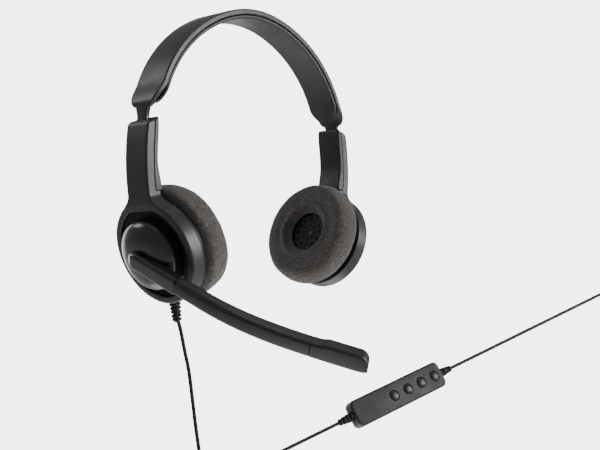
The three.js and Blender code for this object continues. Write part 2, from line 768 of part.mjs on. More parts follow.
function micCapsule() {
  const depth = boomThickness - podCoverThickness - gap;
  return placeInPod(rod(micRadius, boomThickness / 2 - depth, boomThickness / 2 - podWall - gap), micFromTip);
}

const boomParts = earpiece.mic.cup;
part(boomParts, "boom_turret", boomTurret(), finish.gloss);
part(boomParts, "boom_friction_washer", frictionWasher(), finish.film);
part(boomParts, "boom_spindle_clip", spindleClip(), finish.steel);
part(boomParts, "boom_root", boomRoot(), finish.gloss);
part(boomParts, "boom_tube", boomTube(), finish.soft);
const coreWire = boomStrip(tubeStart + 0.2, tubeEnd - 0.2, 12, 1.6, 1.6, 0.6, 1);
part(boomParts, "boom_core_wire", coreWire, finish.copper);
part(boomParts, "mic_pod_shell", podShell(), finish.soft);
part(boomParts, "mic_pod_cover", podCover(), finish.soft);
part(boomParts, "mic_capsule", micCapsule(), finish.steel);

// ---- controller and plug lie on one line, the pull of the cord ----
const pullLine = plugStart.clone().sub(controllerCentre).normalize();

function lineFrame(origin) {
  const level = new THREE.Vector3().crossVectors(pullLine, new THREE.Vector3(0, 0, 1)).normalize();
  const upward = new THREE.Vector3().crossVectors(level, pullLine);
  const face = level.clone().multiplyScalar(Math.cos(faceTilt)).addScaledVector(upward, Math.sin(faceTilt));
  const across = new THREE.Vector3().crossVectors(face, pullLine);
  return new THREE.Matrix4().makeBasis(pullLine, across, face).setPosition(origin);
}

function lineGroup(origin) {
  const group = new THREE.Group();
  lineFrame(origin).decompose(group.position, group.quaternion, group.scale);
  headset.add(group);
  return group;
}
const controllerGroup = lineGroup(controllerCentre);
const plugGroup = lineGroup(plugStart);

function roundedPlate(length, width, thickness, round, bevel) {
  const shape = new THREE.Shape();
  const x = length / 2 - bevel;
  const y = width / 2 - bevel;
  const r = Math.max(0.3, round - bevel);
  shape.moveTo(-x + r, -y).lineTo(x - r, -y).absarc(x - r, -y + r, r, -Math.PI / 2, 0);
  shape.lineTo(x, y - r).absarc(x - r, y - r, r, 0, Math.PI / 2);
  shape.lineTo(-x + r, y).absarc(-x + r, y - r, r, Math.PI / 2, Math.PI);
  shape.lineTo(-x, -y + r).absarc(-x + r, -y + r, r, Math.PI, 1.5 * Math.PI);
  const options = { depth: thickness - 2 * bevel, curveSegments: 4, bevelEnabled: bevel > 0,
    bevelThickness: bevel, bevelSize: bevel, bevelSegments: 2 };
  return new THREE.ExtrudeGeometry(shape, options).translate(0, 0, -thickness / 2 + bevel);
}

const buttonPlaces = range(0, 3, 3).map((i) => firstButton + i * buttonPitch);
const halfController = controllerThickness / 2;

function controllerHalf(top) {
  const sign = top ? 1 : -1;
  const body = roundedPlate(controllerLength, controllerWidth, controllerThickness, controllerRound, 1.2);
  const other = box(controllerLength + 4, controllerWidth + 4, controllerThickness, 0, 0,
    sign * (gap / 2 - halfController));
  const hollow = roundedPlate(controllerLength - 2 * controllerWall, controllerWidth - 2 * controllerWall,
    controllerThickness - 2 * controllerWall, controllerRound - 1, 0);
  const necks = [-1, 1].map((s) =>
    rod(reliefNeck + gap, -3, 3, 16).translate(s * controllerLength / 2, 0, 0));
  const buttons = top ? buttonPlaces.map((x) =>
    new THREE.CylinderGeometry(buttonRadius + gap, buttonRadius + gap, 6, 20).rotateX(Math.PI / 2)
      .translate(x, 0, halfController)) : [];
  return cut(body, other, hollow, ...necks, ...buttons);
}

// A domed cap with a flange that holds it under the shell.
function controllerButton(x) {
  const ceiling = halfController - controllerWall;
  const flange = ceiling - gap;
  const sunk = 0.3;
  const crown = range(0, Math.PI / 2, 4).map((a) =>
    [(buttonRadius - 0.1) * Math.cos(a), halfController - sunk + (buttonProud + sunk) * Math.sin(a)]);
  crown[crown.length - 1][0] = 0;
  const profile = [[0, flange - 0.6], [buttonRadius + 0.9, flange - 0.6], [buttonRadius + 0.9, flange],
    [buttonRadius, flange], ...crown];
  return turned(profile, 16).rotateY(-Math.PI / 2).translate(x, 0, 0);
}

part(controllerGroup, "controller_top_shell", controllerHalf(true), finish.dark);
part(controllerGroup, "controller_bottom_shell", controllerHalf(false), finish.dark);
buttonPlaces.forEach((x, i) => {
  part(controllerGroup, `controller_button_${i + 1}`, controllerButton(x), finish.dark);
});
const boardHeight = -halfController + controllerWall + 1;
part(controllerGroup, "controller_board",
  box(controllerLength - 12, controllerWidth - 4, 1, 0, 0, boardHeight), finish.board);

function endRelief(sign) {
  const relief = ribbedRelief(reliefLength, 2.9, 2, 4, controllerWall + 1, reliefNeck);
  if (sign < 0) relief.rotateZ(Math.PI);
  return relief.translate(sign * (controllerLength / 2 + gap), 0, 0);
}
part(controllerGroup, "controller_relief_headset_end", endRelief(-1), finish.rubber);
part(controllerGroup, "controller_relief_plug_end", endRelief(1), finish.rubber);

// ---- plug ----
const plugBodyFrom = reliefLength + gap;
const plugBodyMiddle = plugBodyFrom + plugLength / 2;
const plugShellFrom = plugBodyFrom + plugLength - 3;
const plugShellMiddle = plugShellFrom + (plugShellLength + 3) / 2;
const plugShellWall = 0.5;

function plugBody() {
  const body = roundedPlate(plugLength, plugShellWidth + 3.5, plugShellHeight + 3.5, 2, 1);
  const socket = box(3 + gap, plugShellWidth + 2 * gap, plugShellHeight + 2 * gap, plugLength / 2 - 1.5);
  return cut(body, socket).translate(plugBodyMiddle, 0, 0);
}

function plugShell() {
  const length = plugShellLength + 3;
  const tube = cut(box(length, plugShellWidth, plugShellHeight),
    box(length + 2, plugShellWidth - 2 * plugShellWall, plugShellHeight - 2 * plugShellWall));
  return tube.translate(plugShellMiddle + gap, 0, 0);
}

function plugTongue() {
  const width = plugShellWidth - 2 * plugShellWall - 2 * gap;
  const height = 1.7;
  const z = plugShellHeight / 2 - plugShellWall - gap - height / 2;
  return box(plugShellLength + 1.6, width, height, plugShellMiddle, 0, z);
}

part(plugGroup, "plug_strain_relief", ribbedRelief(reliefLength, 2.2, 3.1, 4), finish.rubber);
part(plugGroup, "plug_body", plugBody(), finish.dark);
part(plugGroup, "plug_metal_shell", plugShell(), finish.steel);
part(plugGroup, "plug_tongue", plugTongue(), finish.film);

// ---- cord: two hanging lengths, a tied hank between them, and the length to the plug ----
const reliefTip = new THREE.Vector3(reliefLength + 1.5 * gap, 0, 0).applyMatrix4(reliefPlace);
reliefTip.applyMatrix4(cupMatrix).addScaledVector(slideAlong, extension.mic);
reliefTip.applyAxisAngle(new THREE.Vector3(0, 0, 1), Math.PI);

const hangingRoute = [
  [-52.3, -1.9, -178.7], [-50.2, -2.5, -189.3], [-48.6, -3, -204.2], [-46.9, -3.5, -220.6],
  [-45.6, -3.9, -233.8],
].map((p) => new THREE.Vector3(...p));

function cordTube(points, from, to) {
  const curve = new THREE.CatmullRomCurve3([from, ...points, to]);
  const section = new THREE.Shape();
  range(0, 2 * Math.PI, 8).slice(1).forEach((angle, i) => {
    const x = (cordDiameter / 2) * Math.cos(angle);
    const y = (cordDiameter / 2) * Math.sin(angle);
    if (i === 0) section.moveTo(x, y);
    else section.lineTo(x, y);
  });
  const steps = Math.max(6, Math.min(60, Math.round(curve.getLength() / (3 * cordDiameter))));
  return new THREE.ExtrudeGeometry(section, { steps, extrudePath: curve, bevelEnabled: false });
}

const alongLine = (distance) => controllerCentre.clone().addScaledVector(pullLine, distance);
const controllerEnd = controllerLength / 2 + reliefLength + 2 * gap;

// The cord runs into the hank along one of its sides and out of it along the other.
const hankRadius = hankWidth / 2;
const hankStraight = hankLength / 2 - hankRadius;
const hankAcross = new THREE.Vector3(pullLine.x, pullLine.y, 0).normalize();
const shoulder = Math.sqrt(hankRadius ** 2 - (hankRadius - cordDiameter) ** 2) + gap;

function besideHank(side, rise) {
  const across = side * (hankRadius - cordDiameter / 2);
  const place = hankCentre.clone().addScaledVector(hankAcross, across);
  place.z += hankStraight + shoulder + rise;
  return place;
}

const risingRoute = [
  besideHank(1, 4), new THREE.Vector3(-21.9, -10.9, -249.8), new THREE.Vector3(-17.9, -12, -245.9),
  alongLine(-98), alongLine(-70),
];

part(headset, "cord_from_cup", cordTube([...hangingRoute, besideHank(-1, 10)], reliefTip, besideHank(-1, 0)),
  finish.rubber);
part(headset, "cord_to_controller",
  cordTube(risingRoute, besideHank(1, 0), alongLine(-controllerEnd)), finish.rubber);
part(headset, "cord_to_plug", cordTube([alongLine(80), alongLine(120)], alongLine(controllerEnd),
  plugStart.clone().addScaledVector(pullLine, -gap)), finish.rubber);

// ---- hank: the outer shape of the wound cord, drawn in at the tie ----
const tieWidth = 4;
const tieThickness = 1.1;
const tieSlack = 0.5; // round the waist of the hank
const hankTurn = new THREE.Matrix4()
  .makeRotationZ(Math.atan2(pullLine.y, pullLine.x)).setPosition(hankCentre);

function hankBody() {
  const halfWidth = (z) =>
    THREE.MathUtils.lerp(hankWaist / 2, hankRadius, smooth(Math.abs(z) / hankStraight));
  const heights = range(-hankStraight, hankStraight, 12).slice(1, -1);
  const shape = new THREE.Shape();
  shape.moveTo(hankRadius, -hankStraight);
  heights.forEach((z) => shape.lineTo(halfWidth(z), z));
  shape.lineTo(hankRadius, hankStraight).absarc(0, hankStraight, hankRadius, 0, Math.PI);
  heights.forEach((z) => shape.lineTo(-halfWidth(z), -z));
  shape.lineTo(-hankRadius, -hankStraight).absarc(0, -hankStraight, hankRadius, Math.PI, 2 * Math.PI);
  const slab = new THREE.ExtrudeGeometry(shape, {
    depth: hankThickness, bevelEnabled: false, curveSegments: 10,
  });
  return slab.translate(0, 0, -hankThickness / 2).rotateX(Math.PI / 2).applyMatrix4(hankTurn);
}

function hankTie() {
  const inside = [hankWaist + 2 * tieSlack, hankThickness + 2 * tieSlack];
  const outer = box(inside[0] + 2 * tieThickness, inside[1] + 2 * tieThickness, tieWidth);
  const inner = box(inside[0], inside[1], tieWidth + 2);
  return cut(outer, inner).applyMatrix4(hankTurn);
}

part(headset, "cord_hank", hankBody(), finish.rubber);
part(headset, "cord_tie", hankTie(), finish.rubber);

export default headset;
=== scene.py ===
import math

import bmesh
import bpy
import numpy as np
from mathutils import Matrix, Vector


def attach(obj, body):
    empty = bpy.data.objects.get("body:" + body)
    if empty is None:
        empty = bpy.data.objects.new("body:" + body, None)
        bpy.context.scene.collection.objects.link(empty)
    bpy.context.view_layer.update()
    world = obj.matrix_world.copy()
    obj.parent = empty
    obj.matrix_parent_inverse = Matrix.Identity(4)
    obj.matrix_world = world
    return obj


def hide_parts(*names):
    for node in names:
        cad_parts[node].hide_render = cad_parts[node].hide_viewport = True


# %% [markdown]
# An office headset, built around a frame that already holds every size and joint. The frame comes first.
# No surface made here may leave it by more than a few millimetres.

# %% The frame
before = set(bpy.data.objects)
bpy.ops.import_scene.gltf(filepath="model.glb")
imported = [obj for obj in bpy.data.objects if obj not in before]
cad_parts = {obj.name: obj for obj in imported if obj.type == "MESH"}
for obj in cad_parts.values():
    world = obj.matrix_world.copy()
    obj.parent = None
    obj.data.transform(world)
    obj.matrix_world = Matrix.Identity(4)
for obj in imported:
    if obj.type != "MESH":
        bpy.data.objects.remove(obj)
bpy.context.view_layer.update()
MM = 0.001

# %% [markdown]
# The camera stands in front of the microphone side, level with the cups, a little over half a
# metre away. Its axes are given as the directions of view and of the view's right side, because
# two arrows are easier to check against the room than three turned angles.

# %% Camera
CAMERA_PLACE = Vector((-0.40767, -0.39594, -0.12032))
CAMERA_VIEW = Vector((0.75143, 0.65972, 0.01093)).normalized()
CAMERA_RIGHT = Vector((0.65978, -0.75110, -0.02336)).normalized()
camera = bpy.data.objects.new("camera", bpy.data.cameras.new("camera"))
camera_up = CAMERA_RIGHT.cross(CAMERA_VIEW)
turn = Matrix((CAMERA_RIGHT, camera_up, -CAMERA_VIEW)).transposed().to_4x4()
camera.matrix_world = Matrix.Translation(CAMERA_PLACE) @ turn
camera.data.lens = 60.61
camera.data.sensor_width = 36
bpy.context.scene.collection.objects.link(camera)
bpy.context.scene.camera = camera
print("camera is", round(CAMERA_PLACE.length, 3), "m from the crown")

# %% [markdown]
# Every shape below is a grid of points: rings of points, one after another, joined by four-sided
# faces. One function turns such a grid into a mesh, so a piece is only a formula for its points.
# Rings whose points all meet, as at the tip of a dome, are merged into one point.

# %% Grids of points into meshes
def add_mesh(name, vertices, faces, smooth_angle=35):
    """A mesh object from points in mm, with doubled points merged and its faces turned outwards."""
    mesh = bpy.data.meshes.new(name)
    mesh.from_pydata((np.asarray(vertices) * MM).tolist(), [], faces)
    work = bmesh.new()
    work.from_mesh(mesh)
    bmesh.ops.remove_doubles(work, verts=work.verts, dist=2e-7)
    bmesh.ops.dissolve_degenerate(work, edges=work.edges, dist=1e-7)
    bmesh.ops.recalc_face_normals(work, faces=work.faces)
    work.to_mesh(mesh)
    work.free()
    smooth(mesh, smooth_angle)
    return linked(name, mesh)


def linked(name, data):
    """An object that holds the data, placed in the scene."""
    piece = bpy.data.objects.new(name, data)
    bpy.context.scene.collection.objects.link(piece)
    return piece


def smooth(mesh, angle):
    """Rounds the shading of a mesh, and keeps edges sharper than the angle, in degrees, as edges."""
    mesh.shade_smooth()
    mesh.set_sharp_from_angle(angle=math.radians(angle))


def grid_faces(rings, around, closed=False):
    """The quads of a grid whose rings are closed, and whose last ring meets the first when closed."""
    index = np.arange(rings * around).reshape(rings, around)
    last = None if closed else -1
    here, there = index[:last], np.roll(index, -1, axis=0)[:last]
    quads = np.stack([here, np.roll(here, -1, 1), np.roll(there, -1, 1), there], axis=-1)
    return quads.reshape(-1, 4).tolist()


def ring_surface(name, points, closed=False, smooth_angle=35):
    """Rings of points, shape (rings, around, 3), as a closed surface. Open ends get a flat face."""
    rings, around = points.shape[:2]
    faces = grid_faces(rings, around, closed)
    if not closed:
        faces += [list(range(around)), list(range((rings - 1) * around, rings * around))]
    return add_mesh(name, points.reshape(-1, 3), faces, smooth_angle)


def moved(points, matrix):
    """Points of any grid shape, taken through a 4x4 matrix."""
    m = np.array(matrix)
    return points @ m[:3, :3].T + m[:3, 3]


# %% [markdown]
# The cord is a real length of something flexible. It hangs out of the cup's strain relief, is wound
# into a tied hank below the camera's view, then rises taut through the controller to the plug. Its points
# repeat the frame's own route, in metres. A line through them, drawn as a curve with a round bevel,
# is the simplest honest cord: its own line is its length.

# %% Cord helpers
CORD_DIAMETER = 0.0021


def rounded_line(points, steps=6):
    """A smooth line through points: between two of them, a cubic whose slopes are half the step
    from the point before to the point after (Catmull-Rom)."""
    p = np.array(points, float)
    p = np.vstack([2 * p[0] - p[1], p, 2 * p[-1] - p[-2]])
    a, b, c, d = p[:-3, None], p[1:-2, None], p[2:-1, None], p[3:, None]
    t = (np.arange(steps) / steps)[None, :, None]
    line = 0.5 * (2 * b + (c - a) * t + (2 * a - 5 * b + 4 * c - d) * t**2
                  + (3 * b - a - 3 * c + d) * t**3)
    return np.vstack([line.reshape(-1, 3), p[-2]])


def line_length(points):
    """The sum of the steps between the points."""
    return float(np.linalg.norm(np.diff(points, axis=0), axis=1).sum())


def cord_curve(name, points):
    """A curve of one open spline through the points, with a round section."""
    data = bpy.data.curves.new(name, "CURVE")
    data.dimensions = "3D"
    data.bevel_depth = CORD_DIAMETER / 2
    data.bevel_resolution = 3
    data.use_fill_caps = True
    spline = data.splines.new("POLY")
    spline.points.add(len(points) - 1)
    spline.points.foreach_set("co", np.column_stack([points, np.ones(len(points))]).ravel())
    spline.use_smooth = True
    return linked(name, data)


# %% Where the cord runs
CONTROLLER_CENTRE = np.array([0.0805, -0.0406, -0.2159])
PLUG_START = np.array([0.2590, -0.0926, -0.1634])
PULL = (PLUG_START - CONTROLLER_CENTRE) / np.linalg.norm(PLUG_START - CONTROLLER_CENTRE)
CUP_EXIT = (-0.05506, -0.00110, -0.16448)
HANGING_ROUTE = [
    (-0.05660, 0.0, -0.15960), CUP_EXIT, (-0.0535, -0.0015, -0.1715), (-0.0523, -0.0019, -0.1787),
    (-0.0502, -0.0025, -0.1893), (-0.0486, -0.0030, -0.2042), (-0.0469, -0.0035, -0.2206),
    (-0.0456, -0.0039, -0.2338), (-0.0454, -0.0040, -0.2478), (-0.04545, -0.0040, -0.2578),
]


def along_pull(distance):
    """The point on the taut line, that far in metres from the controller's middle."""
    return CONTROLLER_CENTRE + distance * PULL


RISING_ROUTE = [
    (-0.02355, -0.0104, -0.2578), (-0.02355, -0.0104, -0.2538), (-0.0219, -0.0109, -0.2498),
    (-0.0179, -0.0120, -0.2459), along_pull(-0.098), along_pull(-0.085), along_pull(-0.070),
    along_pull(-0.058), along_pull(-0.046), along_pull(-0.034), along_pull(-0.020),
]
PLUG_ROUTE = [along_pull(d) for d in np.arange(0.028, 0.1945, 0.0125)] + [PLUG_START + 0.012 * PULL]
print("taut line points:", np.round(PULL, 3))

# %% [markdown]
# A hank is wound as a racetrack: down one side, round the bottom, up the other side, round the top.
# Three turns lie beside each other and four layers lie on each other, a diameter apart. Each turn
# starts where the last one ended and moves over to its own place as it runs down the first side.
# The tie draws both sides in at the middle.

# %% The hank
HANK_CENTRE = np.array([-0.0345, -0.0072, -0.2830])
HANK_ACROSS = np.array([PULL[0], PULL[1], 0]) / math.hypot(PULL[0], PULL[1])
HANK_THROUGH = np.array([-HANK_ACROSS[1], HANK_ACROSS[0], 0])
HANK_RUN = 0.036
TURN_PITCH = 0.0022
OUTER_TURN = 0.0125 - CORD_DIAMETER / 2
TIE_PULL = 0.0056


def ease(t):
    """0 to 1 with a level start and end: three t squared less two t cubed."""
    t = np.clip(t, 0, 1)
    return t * t * (3 - 2 * t)


def hank_turns():
    """Points of the winding: (side, height) on a racetrack, with a radius and a layer for each turn."""
    columns = [OUTER_TURN, OUTER_TURN - TURN_PITCH, OUTER_TURN - 2 * TURN_PITCH]
    places = []
    for layer in range(4):
        depth = (layer - 1.5) * TURN_PITCH
        order = columns if layer % 2 == 0 else columns[::-1]
        places += [(radius, depth) for radius in order]
    run = np.linspace(0, 1, 9)[:-1]
    bend = np.linspace(0, np.pi, 11)[:-1]
    lines = []
    for i, (radius, depth) in enumerate(places):
        before = places[max(0, i - 1)]
        shift = ease(run)
        r = before[0] + (radius - before[0]) * shift
        z = HANK_RUN * (0.5 - run)
        pinch = TIE_PULL * (1 - ease(np.abs(z) / (HANK_RUN / 2)))
        lines.append(np.column_stack([pinch - r, z, before[1] + (depth - before[1]) * shift]))
        lines.append(np.column_stack([-radius * np.cos(bend), -HANK_RUN / 2 - radius * np.sin(bend),
                                      np.full(len(bend), depth)]))
        lines.append(np.column_stack([radius - pinch, -z, np.full(len(run), depth)]))
        if i + 1 < len(places):
            lines.append(np.column_stack([radius * np.cos(bend), HANK_RUN / 2 + radius * np.sin(bend),
                                          np.full(len(bend), depth)]))
    flat = np.vstack(lines)
    return (HANK_CENTRE + flat[:, :1] * HANK_ACROSS + flat[:, 1:2] * np.array([0, 0, 1])
            + flat[:, 2:] * HANK_THROUGH)


turns = hank_turns()
down, up = np.array(HANGING_ROUTE), np.array(RISING_ROUTE)
LAYER_SHIFT = 1.5 * TURN_PITCH * HANK_THROUGH
DOWN_SETTLES_AT, UP_SETTLES_AT = 0.2206, 0.2431


def settled(route, depth, hank_height):
    """How far each point of a route has moved over to its layer: none above a depth, all at the hank."""
    height = route[:, 2:]
    return ease((height + depth) / (hank_height + depth)) * (height < -depth)


down = down - settled(down, DOWN_SETTLES_AT, turns[0, 2]) * LAYER_SHIFT
up = up + settled(up, UP_SETTLES_AT, turns[-1, 2]) * LAYER_SHIFT
headset_line = rounded_line(np.vstack([down, turns, up]), 3)
plug_line = rounded_line(PLUG_ROUTE, 3)
headset_cord = cord_curve("headset_cord", headset_line)
plug_cord = cord_curve("plug_cord", plug_line)
print("metres in the hank:", round(line_length(turns), 3))
print("cords in metres:", round(line_length(headset_line), 3), round(line_length(plug_line), 3))

# %% [markdown]
# Long moulded parts such as the headband, an arm or a boom are one section carried along a path.
# The section is a rounded bar: four quarter circles joined by straights. Its width, thickness and
# rounding may differ at every station, so that one formula also makes necks, flares and tips.

# %% Rounded bars along a path
Y_AXIS = np.array([0.0, 1.0, 0.0])


def bar_outline(width, thickness, outer, inner, steps=5):
    """Rounded bars, one for each station: across is centred, depth runs from 0 to -thickness.
    The two corners at depth 0 have the outer rounding, the other two the inner one."""
    values = (np.atleast_1d(np.asarray(v, float)) for v in (width, thickness, outer, inner))
    values = np.broadcast_arrays(*values)
    width, thickness, outer, inner = (v[:, None] for v in values)
    quarter = np.linspace(0, np.pi / 2, steps + 1)
    half = width / 2
    corners = [(half - outer, -outer, outer, 0), (outer - half, -outer, outer, 1),
               (inner - half, inner - thickness, inner, 2), (half - inner, inner - thickness, inner, 3)]
    across = [a + r * np.cos(quarter + k * np.pi / 2) for a, _, r, k in corners]
    depth = [d + r * np.sin(quarter + k * np.pi / 2) for _, d, r, k in corners]
    return np.hstack(across), np.hstack(depth)


def carried(at, side, out, across, depth):
    """Sections on a path: place plus across times side plus depth times out, at every station."""
    side, out = np.broadcast_to(side, at.shape), np.broadcast_to(out, at.shape)
    return at[:, None] + across[..., None] * side[:, None] + depth[..., None] * out[:, None]


# %% The arch of the headband
CROWN_RADIUS, SHELL_THICKNESS, BAND_WIDTH = 40.4, 3.2, 22
PAD_THICKNESS, PAD_WIDTH, GAP = 2.5, 20.2, 0.3
HALF_SWEEP = 1.79
ARCH_CENTRE_Z = -(CROWN_RADIUS - SHELL_THICKNESS - GAP - PAD_THICKNESS)


def arch_point(angle):
    """The outer face of the band: a radius that grows with even powers of the angle from the crown."""
    square = angle**2
    radius = CROWN_RADIUS + square * (8.04 + square * (2.22 - 0.42 * square))
    return np.stack([radius * np.sin(angle), 0 * angle, ARCH_CENTRE_Z + radius * np.cos(angle)], axis=-1)


def arch_out(angle):
    """The direction away from the head: a right angle to the arch's own line."""
    along = arch_point(angle + 1e-3) - arch_point(angle - 1e-3)
    along /= np.linalg.norm(along, axis=-1, keepdims=True)
    return np.stack([-along[..., 2], 0 * angle, along[..., 0]], axis=-1)


BAND_END = arch_point(np.array(HALF_SWEEP))
END_RADIUS = math.hypot(BAND_END[0], BAND_END[2] - ARCH_CENTRE_Z)
print("end of the band, mm:", BAND_END.round(2))

# %% [markdown]
# The headband is an outer plastic shell and a softer inner strip. At each end the shell narrows in
# a rounded shoulder to a tongue that slides in the arm. The shell is one bar along the arch: only
# its width, thickness and place change near the ends. The inner strip is thin padding under a fine
# grained skin, so its rim is well rounded.

# %% Headband shell
TONGUE_WIDTH, TONGUE_THICKNESS, TONGUE_LENGTH, TONGUE_JOG = 7.4, 2.8, 40, 3
SLIDE_TILT = math.radians(2)
SLIDE_ALONG = np.array([math.sin(SLIDE_TILT), 0, -math.cos(SLIDE_TILT)])
SLIDE_OUT = np.array([math.cos(SLIDE_TILT), 0, math.sin(SLIDE_TILT)])
TONGUE_START = BAND_END + [TONGUE_JOG, 0, 0]
END_ROUND = 11
NECK_WIDTH, NECK_LENGTH, LOBE_EXTRA = 10.4, 7.6, 2.4


def shoulder(to_end, full, least, radius):
    """The band's width near its end: a quarter ellipse from full down to least."""
    t = np.clip((radius - to_end) / radius, 0, 1)
    return least + (full - least) * np.sqrt(1 - t**1.7)


def shell_half():
    """Stations from the crown to the tip of the tongue: the arch, the shoulder and the tongue."""
    arch = np.linspace(0, HALF_SWEEP - (END_ROUND + 0.5) / END_RADIUS, 90)
    to_end = END_ROUND * (1 - np.sin(np.linspace(0.03, 1.5, 22)))
    angle = np.concatenate([arch, HALF_SWEEP - to_end / END_RADIUS])
    turn = ease(1 - np.concatenate([np.full(len(arch), END_ROUND), to_end]) / END_ROUND)
    at = arch_point(angle)
    at[:, 0] += TONGUE_JOG * turn
    width = np.concatenate([np.full(len(arch), BAND_WIDTH),
                            shoulder(to_end + LOBE_EXTRA, BAND_WIDTH, NECK_WIDTH, END_ROUND + LOBE_EXTRA)])
    thickness = SHELL_THICKNESS + (TONGUE_THICKNESS - SHELL_THICKNESS) * turn
    hollow = np.concatenate([np.linspace(0.03, LOBE_EXTRA / NECK_LENGTH - 0.01, 8),
                             np.linspace(LOBE_EXTRA / NECK_LENGTH + 0.005, 1, 12)])
    drop = np.concatenate([NECK_LENGTH * hollow, [12, 20, 30, 38, 39.2, 39.8, TONGUE_LENGTH]])
    taper = np.concatenate([np.zeros(24), [0.15, 0.45, 0.9]])
    lobe = shoulder(LOBE_EXTRA - NECK_LENGTH * hollow, BAND_WIDTH, NECK_WIDTH, END_ROUND + LOBE_EXTRA)
    lobe = np.where(NECK_LENGTH * hollow < LOBE_EXTRA, lobe - TONGUE_WIDTH, 0)
    neck = np.concatenate([np.maximum(lobe, (NECK_WIDTH - TONGUE_WIDTH) * (1 - ease(hollow))), np.zeros(7)])
    tongue = TONGUE_START + drop[:, None] * SLIDE_ALONG - 0.5 * taper[:, None] * SLIDE_OUT
    return (np.vstack([at, tongue]), np.vstack([arch_out(angle), np.tile(SLIDE_OUT, (len(drop), 1))]),
            np.concatenate([width, TONGUE_WIDTH + neck - 2 * taper]),
            np.concatenate([thickness, TONGUE_THICKNESS - taper]))


def both_sides(at, out, width, thickness):
    """Half a band and its mirror image across the middle, as one run of stations."""
    flip = np.array([-1.0, 1, 1])
    return (np.vstack([(at * flip)[:0:-1], at]), np.vstack([(out * flip)[:0:-1], out]),
            np.concatenate([width[:0:-1], width]), np.concatenate([thickness[:0:-1], thickness]))


at, out, width, thickness = both_sides(*shell_half())
across, depth = bar_outline(width, thickness, 0.9, 0.7)
band_shell = ring_surface("band_shell", carried(at, Y_AXIS, out, across, depth))
print("band shell stations:", len(at))

# %% Inner strip
PAD_SWEEP = HALF_SWEEP - 0.015
PAD_END = 9
edge = PAD_SWEEP - PAD_END / END_RADIUS
pad_angle = np.concatenate([np.linspace(0, edge, 80)[:-1],
                            edge + (PAD_SWEEP - edge) * np.sin(np.linspace(0, np.pi / 2, 26))])
pad_angle = np.concatenate([-pad_angle[:0:-1], pad_angle])
distance = (PAD_SWEEP - np.abs(pad_angle)) * END_RADIUS
pad_width = shoulder(distance + 0.1, PAD_WIDTH, 3.0, PAD_END)
pad_rim = np.minimum(1.2, 0.45 * pad_width)
across, depth = bar_outline(pad_width, PAD_THICKNESS - 0.6, 0.4, np.minimum(0.9, pad_rim), 6)
out = arch_out(pad_angle)
at = arch_point(pad_angle) - (SHELL_THICKNESS + GAP) * out - 0.3 * Y_AXIS
band_pad = ring_surface("band_pad", carried(at, Y_AXIS, out, across, depth))
print("pad width mm:", pad_width.min().round(1), "to", pad_width.max().round(1))

# %% [markdown]
# The arms and cups stand in frames of their own. A cup's frame has its first axis out of the head,
# its second across and its third up the arm. The microphone side is the plain side turned half a
# turn about the upright axis, so every shape is worked out once and placed twice.

# %% Cup frames
CUP_TILT = math.radians(19.5)
ARM_WIDTH, ARM_THICKNESS, ARM_SPLIT, ARM_LENGTH = 16.8, 8.3, 5.3, 66.2
ARM_PEAK, ARM_CURVE, ARM_OUTSET, NECK_GAP = 45.3, 121, 5.5, 2.6
RING_RADIUS, RING_WALL, RING_DEPTH, RECESS, WEB = 28, 2.7, 8.7, 3, 1.4
ARM_MEETS_RING = 3.9
EXTENSION = {"mic": 5.1, "plain": 2.4}
ARM_TOP = np.array([BAND_END[0] + ARM_OUTSET, 0, BAND_END[2] - NECK_GAP - 3])
PEAK_X = ARM_TOP[0] + ARM_CURVE - math.sqrt(ARM_CURVE**2 - (ARM_LENGTH - ARM_PEAK) ** 2)
MEETING = RING_RADIUS - ARM_MEETS_RING
ARM_BULGE = (MEETING * math.tan(CUP_TILT) + ARM_CURVE
             - math.sqrt(ARM_CURVE**2 - (ARM_PEAK - MEETING) ** 2))
CUP_CENTRE = np.array([PEAK_X - ARM_BULGE, 0, ARM_TOP[2] - ARM_LENGTH])
cup_turn = Matrix.Translation(Vector(CUP_CENTRE)) @ Matrix.Rotation(CUP_TILT, 4, "Y")
SIDE_TURN = {"mic": Matrix.Rotation(math.pi, 4, "Z"), "plain": Matrix.Identity(4)}
CUP = {side: SIDE_TURN[side] @ Matrix.Translation(Vector(SLIDE_ALONG) * EXTENSION[side]) @ cup_turn
       for side in SIDE_TURN}
RING_LEAN = math.radians(2.4)
print("mic cup centre, mm:", [round(x, 2) for x in CUP["mic"].translation])


def leaning(side, angle):
    """A small turn of a cup's pieces about the top of the ring's back edge, in mm."""
    top = CUP[side] @ Matrix.Translation((-RING_DEPTH, 0, RING_RADIUS))
    return top @ Matrix.Rotation(angle, 4, "Y") @ top.inverted()


def in_metres(matrix):
    """The same turn for a mesh that is already in metres."""
    return Matrix.Translation(matrix.translation * MM) @ matrix.to_3x3().to_4x4()


LEAN_OF_CAPSULE = {"mic": leaning("mic", 0.6 * RING_LEAN), "plain": Matrix.Identity(4)}
LEAN_OF_RING = {"mic": Matrix.Identity(4), "plain": leaning("plain", -RING_LEAN)}


def turned(profile, segments=128):
    """A profile of (radius, height) pairs turned about the first axis of the cup's frame."""
    radius, height = np.array(profile, float).T[:, :, None]
    angle = np.linspace(0, 2 * np.pi, segments, endpoint=False)
    return np.stack([height + 0 * angle, radius * np.cos(angle), radius * np.sin(angle)], axis=-1)


def fillet(corner_radius, corner_height, radius, start, steps=5):
    """A quarter circle of profile points round a centre, starting at that many right angles."""
    angle = (start + np.linspace(0, 1, steps)) * np.pi / 2
    return [(corner_radius + radius * math.cos(a), corner_height + radius * math.sin(a)) for a in angle]


def turned_piece(name, profile, side, segments=128):
    """A turned profile as a piece in a cup's frame. A profile off the axis closes on itself."""
    closed = profile[0][0] > 0 and profile[-1][0] > 0
    points = moved(turned(profile, segments), CUP[side])
    return ring_surface(name, points, closed)

